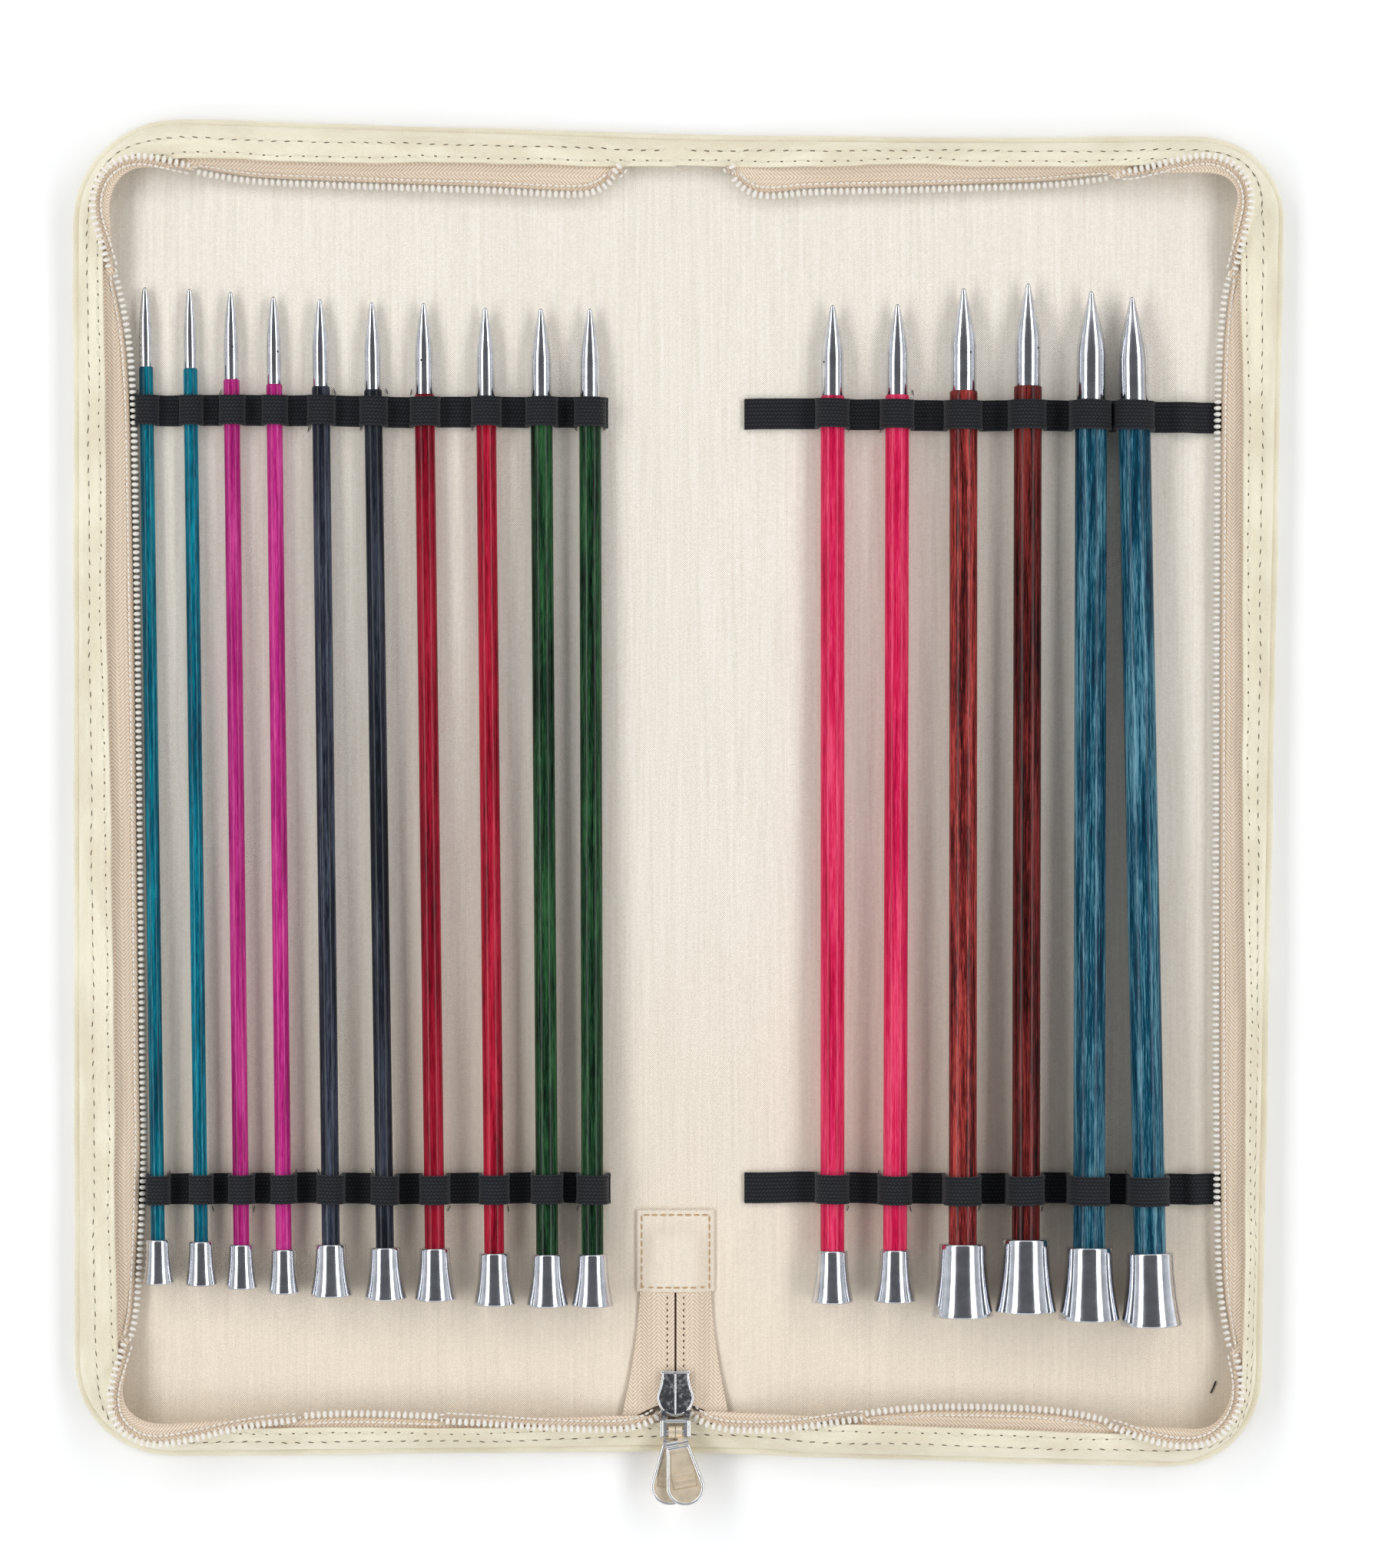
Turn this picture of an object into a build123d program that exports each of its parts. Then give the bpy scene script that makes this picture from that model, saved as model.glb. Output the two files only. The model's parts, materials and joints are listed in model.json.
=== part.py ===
from build123d import *
import os
from math import cos, radians, sin

# A zip case for straight knitting needles, lying open and flat.
#
# Two stiffened halves fold up about a soft spine, like the covers of a book. Each half
# carries a lining, a leaning fabric wall, a zip tape with its coil, and two elastic bands
# whose loops hold the needles. The needles come in pairs of one size, each with a dyed
# wooden shaft, a metal tip and a bell-shaped stopper.
#
# Frame, in millimetres: the origin is on the floor under the middle of the spine. +Z is up,
# +Y runs along the spine towards the needle tips, and +X points to the right half.

# ---- case ----
half_width = 152.0  # centre line to the outer edge of a half
half_length = 168.0  # centre to the outer edge at each end of the spine
corner_radius = 22.0  # plan radius of the four outer corners
fold_x = 16.0  # centre line to the line that a half folds about, level with its lining
fold_gap = 0.4  # between that line and the half
spine_gap = 0.3  # between that line and the spine
cover_thickness = 0.8  # outer twill
board_thickness = 1.6  # stiffening board
lining_thickness = 0.6
fabric_gap = 0.1  # between pieces that are sewn or glued together
board_setback = 2.0  # the board stops this far short of the fold

# ---- wall: a strip that leans in over the lining ----
wall_width = 9.5  # seen from above
wall_rise = 7.2  # above the lining
wall_thickness = 1.2

# ---- zip ----
tape_thickness = 0.6
tape_width = 6.6
tape_tuck = 0.5  # between the tape and the wall's inner edge above it
tape_drop = 1.2  # how far the tape falls from the wall's inner edge to the coil
coil_radius = 1.2
zip_end_gap = 3.5  # from the fold line to the ends of the wall, tape and coil

# ---- elastic bands ----
band_width = 8.0  # along Y
band_thickness = 0.9
upper_band_y = 97.0
lower_band_y = -99.0
band_inner_x = 17.3  # end of a band beside the spine
band_outer_gap = 1.2  # from the band's other end to under the coil
loop_clearance = 0.3  # round a needle in its loop
loop_flare = 0.3  # how far each stitch line stands outside the loop's inner radius

# ---- needles ----
rest_clearance = 0.3  # between a needle and the lining
metal_share = 0.92  # the tip's diameter as a share of the shaft's
tenon_share = 0.5  # the tenon's diameter as a share of the shaft's
tenon_length = 7.0
tenon_clearance = 0.05  # glue line round the tenon and in the stopper's bore
tip_end_radius = 0.65
vent_radius = 0.3
vent_place = 0.63  # the vent's distance from the point, as a share of the tip's length
bore_share = 0.45  # depth of the tip's bore, as a share of the tip's length
taper_share = 0.58  # tapered part of the tip
stopper_bore_share = 0.6  # depth of the stopper's bore, as a share of its height
stopper_lip = 0.5  # rounding of the stopper's two rims

# Each stopper size: (diameter at the wide end, at the narrow end, height, length of the needle)
stoppers = {
    "small": (8.0, 6.2, 11.2, 250.0),
    "medium": (10.6, 7.6, 13.2, 250.0),
    "large": (15.4, 11.8, 18.4, 257.5),
}

# Each needle: (diameter, letter in its pair, stopper, length of the metal tip,
# x at the upper band, x at the lower band, y of the point, which way the vent faces)
needles = [
    (3.5, "a", "small", 20.0, -132.7, -129.8, 127.8, 150),
    (3.5, "b", "small", 20.0, -121.6, -119.0, 127.4, -90),
    (4.0, "a", "small", 22.0, -111.3, -108.9, 126.6, 75),
    (4.0, "b", "small", 22.0, -100.6, -98.3, 125.4, 55),
    (4.5, "a", "medium", 22.0, -88.9, -86.4, 124.8, -90),
    (4.5, "b", "medium", 22.0, -75.8, -72.9, 124.0, -120),
    (5.0, "a", "medium", 23.0, -62.9, -60.4, 123.8, 105),
    (5.0, "b", "medium", 23.0, -47.5, -45.5, 122.6, -80),
    (5.5, "a", "medium", 24.0, -33.6, -32.2, 122.3, -100),
    (5.5, "b", "medium", 24.0, -21.4, -20.8, 122.3, -60),
    (6.0, "a", "medium", 22.8, 39.4, 39.3, 123.2, 145),
    (6.0, "b", "medium", 22.8, 55.6, 55.0, 123.4, -90),
    (7.0, "a", "large", 25.8, 72.2, 71.8, 127.4, 60),
    (7.0, "b", "large", 25.8, 88.3, 87.6, 128.6, 40),
    (8.0, "a", "large", 28.0, 104.1, 103.4, 126.6, -75),
    (8.0, "b", "large", 28.0, 114.9, 118.3, 125.2, -110),
]

# ---- slider and tail, on the spine at its lower end ----
slider_from_end = 18.2  # middle of the slider's plates to the end of the spine
slider_length = 11.4
slider_narrow_half = 3.5  # half the width where the closed chain leaves
slider_wide_half = 4.65
slider_wide_back = 0.6  # the widest point lies this far towards the nose
plate_thickness = 1.0
plate_clearance = 0.2  # between the tail's tapes and the upper plate
slider_lift = 0.2  # under the lower plate
flange_height = 1.8
flange_thickness = 0.5
post_width = 0.8
post_length = 3.0
ridge_height = 0.35
ridge_width = 0.5
slider_travel = 18.0  # towards the patch
tail_tape_half = 8.7  # half the width of the closed pair of tapes
tail_tape_flat = 4.1  # half the width of their flat middle, outside which they slope down
tail_slit = 1.2  # the slider's post runs in it
patch_width = 19.5
patch_length = 20.5
patch_from_slider = 35.6  # between their middles
patch_skin = 0.7
patch_slope = 3.2  # how far each side of its raised middle slopes, seen from above
chain_in_patch = 14.0
chain_clearance = 0.3  # between the chain and the slider's channel

# ---- bracket and the two pulls ----
bracket_half = 3.5
bracket_arm = 1.3
bracket_hold = 1.7  # how far its arms run onto the upper plate
bar_radius = 0.75
bar_forward = 3.7  # from the slider's nose to the bar
bar_height = 8.0
eye_clearance = 0.08
eye_wall = 0.85
eye_width = 1.6
eye_spacing = 0.2  # between the two eyes on the bar
pull_thickness = 1.7
pull_neck_length = 3.4  # from the bar to the plate
pull_neck_half = 2.85  # half the plate's width at its narrow end
pull_end_radius = 4.7
pull_length = 15.0
pull_recess = 0.35
pull_border = 0.9
pull_plane_gap = 0.15  # the two plates lie this far either side of the bar's middle
front_pull_yaw = 10.5  # degrees, to the right
rear_pull_yaw = -6.0
rib_count = 3
rib_pitch = 1.5
rib_width = 0.6

# ---- worked out from the sizes above ----
board_bottom = cover_thickness
lining_bottom = board_bottom + board_thickness
panel_top = lining_bottom + lining_thickness
spine_top = cover_thickness + lining_thickness
spine_half = fold_x - spine_gap
panel_start = fold_x + fold_gap
zip_start_x = fold_x + zip_end_gap
wall_top = panel_top + wall_rise
tape_start = wall_width - 1.5  # the tape is sewn under the wall's inner edge
tape_end = tape_start + tape_width
tape_high = wall_top - wall_thickness - tape_thickness - tape_tuck
tape_low = max(tape_high - tape_drop, panel_top + band_thickness + 2 * coil_radius + 0.2)
coil_inset = tape_end + coil_radius * 0.35
coil_z = tape_low - coil_radius
slider_y = slider_from_end - half_length
patch_y = slider_y + patch_from_slider
band_outer_x = half_width - coil_inset - coil_radius + band_outer_gap
plate_bottom = spine_top + slider_lift
channel_bottom = plate_bottom + plate_thickness
channel_height = chain_clearance + 2 * coil_radius + tape_thickness + plate_clearance
channel_top = channel_bottom + channel_height
slider_top = channel_top + plate_thickness
tail_coil_bottom = channel_bottom + chain_clearance
tail_coil_top = tail_coil_bottom + 2 * coil_radius
nose_y = slider_y - slider_length / 2
bar_y = nose_y - bar_forward

os.makedirs("parts", exist_ok=True)


def save(piece, name):
    piece.label = name
    export_step(piece, f"parts/{name}.step")


def panel_outline(inset, setback=0.0):
    """Plan of the right half, drawn in from its outer edges and set back from the fold."""
    start = panel_start + setback
    width = half_width - inset - start
    with BuildSketch() as outline:
        with Locations((start + width / 2, 0)):
            Rectangle(width, 2 * (half_length - inset))
        fillet(outline.vertices().group_by(Axis.X)[-1], corner_radius - inset)
    return outline.sketch


def edge_path(inset, start):
    """The right half's edge, drawn in by inset, from the top of the spine round to the bottom."""
    x, y = half_width - inset, half_length - inset
    with BuildLine() as path:
        FilletPolyline((start, y), (x, y), (x, -y), (start, -y), radius=corner_radius - inset)
    return path.line


def edge_plane(inset, start):
    """A section plane across the start of that path: x points inwards and y up."""
    return Plane(origin=(start, half_length - inset, 0), x_dir=(0, -1, 0), z_dir=(-1, 0, 0))


# ---- pieces of a half, made for the right side ----
with BuildPart() as cover:
    with BuildSketch():
        add(panel_outline(0))
    extrude(amount=cover_thickness)
    with BuildSketch(Plane.XY.offset(cover_thickness)):
        add(panel_outline(0))
        add(panel_outline(cover_thickness), mode=Mode.SUBTRACT)
    extrude(amount=panel_top - cover_thickness)

with BuildPart() as board:
    with BuildSketch(Plane.XY.offset(board_bottom)):
        add(panel_outline(cover_thickness + fabric_gap, board_setback))
    extrude(amount=board_thickness)

with BuildPart() as lining:
    with BuildSketch(Plane.XY.offset(lining_bottom)):
        add(panel_outline(cover_thickness + fabric_gap))
    extrude(amount=lining_thickness)

with BuildPart() as wall:
    with BuildSketch(edge_plane(0, zip_start_x)):
        with BuildLine():
            outer = ThreePointArc(
                (0, panel_top),
                (wall_width * 0.38, panel_top + wall_rise * 0.74),
                (wall_width, wall_top),
            )
            Line(outer @ 1, (wall_width, wall_top - wall_thickness))
            inner = ThreePointArc(
                (wall_width, wall_top - wall_thickness),
                (wall_width * 0.46, panel_top + wall_rise * 0.58),
                (wall_thickness * 1.1, panel_top),
            )
            Line(inner @ 1, outer @ 0)
        make_face()
    sweep(path=edge_path(0, zip_start_x))

with BuildPart() as tape:
    with BuildSketch(edge_plane(0, zip_start_x)):
        with BuildLine():
            Polyline(
                (tape_start, tape_high),
                (tape_end, tape_low),
                (tape_end, tape_low + tape_thickness),
                (tape_start, tape_high + tape_thickness),
                close=True,
            )
        make_face()
    sweep(path=edge_path(0, zip_start_x))

with BuildPart() as coil:
    with BuildSketch(edge_plane(coil_inset, zip_start_x)):
        with Locations((0, coil_z)):
            Circle(coil_radius)
    sweep(path=edge_path(coil_inset, zip_start_x))

half_pieces = {
    "cover": cover.part,
    "board": board.part,
    "lining": lining.part,
    "wall": wall.part,
    "zip_tape": tape.part,
    "zip_coil": coil.part,
}
for name, piece in half_pieces.items():
    save(piece, f"{name}_right")
    with BuildPart() as other:
        mirror(piece, about=Plane.YZ)
    save(other.part, f"{name}_left")


# ---- needles ----
def needle_axis(needle):
    """The line from the middle of the stopper's wide end towards the point, as a unit vector and
    an origin. The point end lies on the lining, and the stopper's rim holds up the other end."""
    diameter, _, stopper, _, x_upper, x_lower, y_point, _ = needle
    wide, _, _, length = stoppers[stopper]
    rim_y = y_point - length + stopper_lip
    slope = (x_upper - x_lower) / (upper_band_y - lower_band_y)
    upper = Vector(x_upper, upper_band_y, panel_top + rest_clearance + diameter / 2)
    rim = Vector(
        x_lower + slope * (rim_y - lower_band_y), rim_y, panel_top + rest_clearance + wide / 2
    )
    along = (upper - rim).normalized()
    return rim - along * stopper_lip, along


def needle_plane(needle):
    """A plane through the needle: x is radial and y runs along the axis towards the point."""
    origin, along = needle_axis(needle)
    across = Vector(along.Y, -along.X, 0).normalized()
    return Plane(origin=origin, x_dir=across, z_dir=across.cross(along))


def height_at(needle, y):
    """The height of the needle's axis where it crosses a band."""
    origin, along = needle_axis(needle)
    return origin.Z + along.Z * (y - origin.Y) / along.Y


def make_shaft(needle):
    diameter, _, stopper, tip_length, *_ = needle
    _, _, height, length = stoppers[stopper]
    bottom = height * (1 - stopper_bore_share) + tenon_clearance
    shoulder = length - tip_length
    plane, radius = needle_plane(needle), diameter / 2
    with BuildPart() as shaft:
        with BuildSketch(plane):
            with BuildLine():
                Polyline(
                    (0, bottom),
                    (radius, bottom),
                    (radius, shoulder),
                    (radius * tenon_share, shoulder),
                    (radius * tenon_share, shoulder + tenon_length),
                    (0, shoulder + tenon_length),
                    close=True,
                )
            make_face()
        revolve(axis=Axis(plane.origin, plane.y_dir))
    return shaft.part


def make_tip(needle):
    diameter, _, stopper, tip_length, _, _, _, vent_angle = needle
    length = stoppers[stopper][3]
    plane, radius = needle_plane(needle), diameter / 2 * metal_share
    shoulder, taper = length - tip_length, tip_length * taper_share
    bore = diameter / 2 * tenon_share + tenon_clearance
    bore_end = shoulder + max(tip_length * bore_share, tenon_length + 1)
    with BuildPart() as tip:
        with BuildSketch(plane):
            with BuildLine():
                Polyline(
                    (0, bore_end),
                    (bore, bore_end),
                    (bore, shoulder),
                    (radius, shoulder),
                    (radius, length - taper),
                )
                side = Bezier(
                    (radius, length - taper),
                    (radius, length - taper * 0.72),
                    (tip_end_radius * 1.6, length - taper * 0.2),
                    (tip_end_radius, length - tip_end_radius),
                )
                RadiusArc(side @ 1, (0, length), -tip_end_radius)
                Line((0, length), (0, bore_end))
            make_face()
        revolve(axis=Axis(plane.origin, plane.y_dir))
        turn = radians(vent_angle)
        outwards = plane.x_dir * cos(turn) + plane.z_dir * sin(turn)
        middle = plane.origin + plane.y_dir * (length - tip_length * vent_place)
        with BuildSketch(Plane(origin=middle, z_dir=outwards)):
            Circle(vent_radius)
        extrude(amount=diameter, mode=Mode.SUBTRACT)
    return tip.part


def make_stopper(needle):
    diameter, _, stopper, *_ = needle
    wide, narrow, height, _ = stoppers[stopper]
    plane, bore = needle_plane(needle), diameter / 2 + tenon_clearance
    bottom = height * (1 - stopper_bore_share)
    waist = (narrow / 2 + (wide - narrow) * 0.16, height * 0.45)
    with BuildPart() as bell:
        with BuildSketch(plane):
            with BuildLine():
                Line((0, 0), (wide / 2 - stopper_lip, 0))
                foot = RadiusArc((wide / 2 - stopper_lip, 0), (wide / 2, stopper_lip), -stopper_lip)
                side = ThreePointArc(foot @ 1, waist, (narrow / 2, height - stopper_lip))
                rim = RadiusArc(side @ 1, (narrow / 2 - stopper_lip, height), -stopper_lip)
                Polyline(rim @ 1, (bore, height), (bore, bottom), (0, bottom), (0, 0))
            make_face()
        revolve(axis=Axis(plane.origin, plane.y_dir))
    return bell.part


for needle in needles:
    size = f"{needle[0]:.1f}".replace(".", "_")
    name = f"needle_{size}mm_{needle[1]}"
    save(make_shaft(needle), f"{name}_shaft")
    save(Compound(children=[make_tip(needle), make_stopper(needle)]), f"{name}_tip_and_stopper")


# ---- elastic bands: flat between the needles, arched over each one ----
def loop_face(plane, needle, band_y, grow):
    """The area under an arch: the hull of a circle round the needle and its two stitch lines."""
    share = (band_y - lower_band_y) / (upper_band_y - lower_band_y)
    x = needle[5] + share * (needle[4] - needle[5])
    z = height_at(needle, band_y)
    radius = needle[0] / 2 + loop_clearance
    foot = radius + loop_flare + grow
    with BuildSketch(plane) as arch:
        with BuildLine():
            CenterArc((x, z), radius + grow, 0, 360)
            Line((x - foot, panel_top), (x + foot, panel_top))
        make_hull()
        with Locations((x, panel_top + 2 * needle[0] + z)):
            Rectangle(4 * foot, 2 * (2 * needle[0] + z), mode=Mode.INTERSECT)
    return arch.sketch


def make_band(side, band_y):
    held = [n for n in needles if n[4] * side > 0]
    plane = Plane.XZ.offset(-band_y)
    length = band_outer_x - band_inner_x
    with BuildPart() as band:
        with BuildSketch(plane):
            with Locations((side * (band_inner_x + length / 2), panel_top + band_thickness / 2)):
                Rectangle(length, band_thickness)
            for needle in held:
                add(loop_face(Plane.XY, needle, band_y, band_thickness))
            for needle in held:
                add(loop_face(Plane.XY, needle, band_y, 0), mode=Mode.SUBTRACT)
        extrude(amount=band_width / 2, both=True)
    return band.part


for side_name, side in (("left", -1), ("right", 1)):
    for band_name, band_y in (("upper", upper_band_y), ("lower", lower_band_y)):
        save(make_band(side, band_y), f"elastic_band_{band_name}_{side_name}")


# ---- spine ----
with BuildPart() as spine_cover:
    Box(2 * spine_half, 2 * half_length, cover_thickness, align=(Align.CENTER, Align.CENTER, Align.MIN))
save(spine_cover.part, "spine_cover")

with BuildPart() as spine_lining:
    with BuildSketch(Plane.XY.offset(cover_thickness)):
        Rectangle(2 * spine_half, 2 * (half_length - wall_width - fabric_gap))
    extrude(amount=lining_thickness)
save(spine_lining.part, "spine_lining")

with BuildPart() as end_bands:
    with BuildSketch(Plane.XY.offset(cover_thickness)):
        with GridLocations(0, 2 * half_length - wall_width, 1, 2):
            Rectangle(2 * spine_half, wall_width)
    extrude(amount=panel_top - cover_thickness)
    fillet(end_bands.edges().filter_by(Axis.X).group_by(Axis.Z)[-1], wall_thickness * 0.6)
save(end_bands.part, "spine_end_bands")

# ---- tail of the zip: a closed pair of tapes, their coil, and the patch over the end ----
tail_top_y = patch_y - patch_length / 2 + chain_in_patch
tail_bottom_y = slider_y - slider_wide_back
tail_length = tail_top_y - tail_bottom_y

tail_side_drop = tail_coil_top - spine_top - fabric_gap
with BuildPart() as tail_tapes_right:
    with BuildSketch(Plane.XZ.offset(-tail_bottom_y)):
        with BuildLine():
            Polyline(
                (tail_slit / 2, tail_coil_top),
                (tail_tape_flat, tail_coil_top),
                (tail_tape_half, tail_coil_top - tail_side_drop),
                (tail_tape_half, tail_coil_top - tail_side_drop + tape_thickness),
                (tail_tape_flat + tape_thickness * 0.4, tail_coil_top + tape_thickness),
                (tail_slit / 2, tail_coil_top + tape_thickness),
                close=True,
            )
        make_face()
    extrude(amount=-(patch_y - patch_length / 2 - fabric_gap - tail_bottom_y))
with BuildPart() as tail_tapes:
    add(tail_tapes_right.part)
    mirror(tail_tapes_right.part, about=Plane.YZ)
save(tail_tapes.part, "zip_tail_tapes")

chain_half = slider_narrow_half - flange_thickness - chain_clearance
with BuildPart() as tail_coil:
    with BuildSketch(Plane.XZ.offset(-tail_bottom_y)):
        with Locations((0, tail_coil_bottom + coil_radius)):
            SlotOverall(2 * chain_half, 2 * coil_radius)
            Rectangle(tail_slit, 4 * coil_radius, mode=Mode.SUBTRACT)
    extrude(amount=-tail_length)
save(tail_coil.part, "zip_tail_coil")

patch_crown = tail_coil_top + fabric_gap + patch_skin
patch_crown_half = chain_half + fabric_gap + patch_skin
with BuildPart() as patch:
    with BuildSketch(Plane.XZ.offset(-(patch_y - patch_length / 2))):
        with BuildLine():
            Polyline(
                (0, spine_top),
                (patch_width / 2, spine_top),
                (patch_width / 2, spine_top + patch_skin),
                (patch_crown_half + patch_slope, spine_top + patch_skin),
                (patch_crown_half, patch_crown),
                (0, patch_crown),
                close=True,
            )
        make_face()
        mirror(about=Plane.YZ)
    extrude(amount=-patch_length)
    with BuildSketch(Plane.XZ.offset(-(patch_y - patch_length / 2))):
        pocket_top = tail_coil_top + fabric_gap
        with Locations((0, (spine_top + pocket_top) / 2)):
            Rectangle(2 * (chain_half + fabric_gap), pocket_top - spine_top)
    extrude(amount=-(chain_in_patch + fabric_gap), mode=Mode.SUBTRACT)
save(patch.part, "zip_tail_patch")

# ---- throat: where the two chains part and run to the halves ----
throat_start = Vector(slider_narrow_half * 0.75, slider_y - 2.2, tail_coil_bottom + coil_radius)
throat_end = Vector(spine_half - 0.2, bar_y - 0.2, panel_top + coil_radius + 0.3)
throat_run = throat_end - throat_start
with BuildPart() as throat_right:
    with BuildSketch(Plane(origin=throat_start, z_dir=throat_run)):
        Circle(coil_radius - 0.1)
    extrude(amount=throat_run.length - coil_radius)
with BuildPart() as throat:
    add(throat_right.part)
    mirror(throat_right.part, about=Plane.YZ)
save(throat.part, "zip_throat_coils")


# ---- slider ----
def shield():
    """Plan of a slider plate: narrow where the closed chain leaves, wide and round at the nose."""
    top, bottom = slider_length / 2, -slider_length / 2
    with BuildSketch() as plan:
        with BuildLine():
            Polyline((0, top), (slider_narrow_half, top), (slider_narrow_half, top - 1.6))
            ThreePointArc(
                (slider_narrow_half, top - 1.6),
                (slider_narrow_half + (slider_wide_half - slider_narrow_half) * 0.4, 1.5),
                (slider_wide_half, -slider_wide_back),
            )
            ThreePointArc(
                (slider_wide_half, -slider_wide_back),
                (slider_wide_half * 0.73, -slider_wide_back - (top - slider_wide_back) * 0.68),
                (0, bottom),
            )
            Line((0, bottom), (0, top))
        make_face()
        mirror(about=Plane.YZ)
    return plan.sketch


post_y = slider_y - slider_wide_back - chain_clearance - post_length / 2
with BuildPart() as slider:
    for z in (plate_bottom, channel_top):
        with BuildSketch(Plane.XY.offset(z)):
            with Locations((0, slider_y)):
                add(shield())
        extrude(amount=plate_thickness)
    with BuildSketch(Plane.XY.offset(channel_bottom)):
        with Locations((0, post_y)):
            Rectangle(post_width, post_length)
    extrude(amount=channel_height)
    flange_length = slider_length / 2 + 0.5
    with BuildSketch(Plane.XY.offset(channel_bottom)):
        with Locations((0, slider_y + slider_length / 2 - flange_length / 2)):
            with GridLocations(2 * slider_narrow_half - flange_thickness, 0, 2, 1):
                Rectangle(flange_thickness, flange_length)
    extrude(amount=flange_height)
    with BuildSketch(Plane.XY.offset(slider_top)):
        with Locations((0, slider_y + slider_wide_back)):
            Rectangle(ridge_width, slider_length - 2.0)
    extrude(amount=ridge_height)
    arm_length = nose_y + bracket_hold - bar_y + bar_radius * 1.6
    arm_bottom = min(slider_top - bracket_hold * 0.3, bar_height - bar_radius * 1.2)
    with BuildSketch(Plane.XY.offset(arm_bottom)):
        with Locations((0, bar_y - bar_radius * 1.6 + arm_length / 2)):
            with GridLocations(2 * bracket_half - bracket_arm, 0, 2, 1):
                Rectangle(bracket_arm, arm_length)
    extrude(amount=bar_height + bar_radius * 1.2 - arm_bottom)
    with BuildSketch(Plane.YZ.offset(-bracket_half + bracket_arm / 2)):
        with Locations((bar_y, bar_height)):
            Circle(bar_radius)
    extrude(amount=2 * bracket_half - bracket_arm)
save(slider.part, "zip_slider")


# ---- pulls: an eye on the bar, a neck and a tapered plate with a ribbed recess ----
def make_pull(side, yaw, upper):
    """side is the half of the bar that the eye sits on, and upper is +1 for the plate on top."""
    plane = Plane(origin=(0, bar_y, 0), x_dir=(cos(radians(yaw)), sin(radians(yaw)), 0))
    eye_outer = bar_radius + eye_clearance + eye_wall
    eye_x = side * (eye_width + eye_spacing) / 2
    low = bar_height + (pull_plane_gap if upper > 0 else -pull_plane_gap - pull_thickness)
    face_z = low + pull_thickness
    start = -pull_neck_length
    round_y = start - pull_length + pull_end_radius
    with BuildPart() as pull:
        with BuildSketch(plane.offset(low)):
            with BuildLine():
                right = Line((pull_neck_half, start), (pull_end_radius, round_y))
                end = ThreePointArc(right @ 1, (0, start - pull_length), (-pull_end_radius, round_y))
                Polyline(end @ 1, (-pull_neck_half, start), (pull_neck_half, start))
            make_face()
        extrude(amount=pull_thickness)
        with BuildSketch(plane.offset(face_z - pull_recess)):
            with Locations((0, (start + round_y) / 2 - pull_border)):
                Trapezoid(
                    2 * (pull_end_radius - pull_border),
                    start - round_y - pull_border,
                    94,
                    rotation=0,
                )
        extrude(amount=pull_recess, mode=Mode.SUBTRACT)
        with BuildSketch(plane.offset(face_z - pull_recess)):
            with Locations((0, round_y + rib_pitch * 1.2)):
                with GridLocations(0, rib_pitch, 1, rib_count):
                    Rectangle(pull_neck_half * 1.9, rib_width)
        extrude(amount=pull_recess)
        with BuildSketch(plane.offset(low)):
            with Locations((eye_x * 1.15, (start - eye_outer) / 2)):
                Rectangle(eye_width * 0.9, -start - eye_outer + 0.8)
        extrude(amount=pull_thickness)
        with BuildSketch(Plane.YZ.offset(eye_x - eye_width / 2)):
            with Locations((bar_y, bar_height)):
                Circle(eye_outer)
        extrude(amount=eye_width)
        with BuildSketch(Plane.YZ.offset(-bracket_half)):
            with Locations((bar_y, bar_height)):
                Circle(bar_radius + eye_clearance)
        extrude(amount=2 * bracket_half, mode=Mode.SUBTRACT)
    return pull.part


save(make_pull(1, front_pull_yaw, 1), "zip_pull_front")
save(make_pull(-1, rear_pull_yaw, -1), "zip_pull_rear")
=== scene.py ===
"""A zip case of straight knitting needles, lying open: its cloth, zip, elastic and needles.

Lengths are in millimetres until a mesh is made. +X is the half with the thicker needles, +Y runs
along the spine towards the points, and +Z is up from the table.
"""

import json
import math

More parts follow.
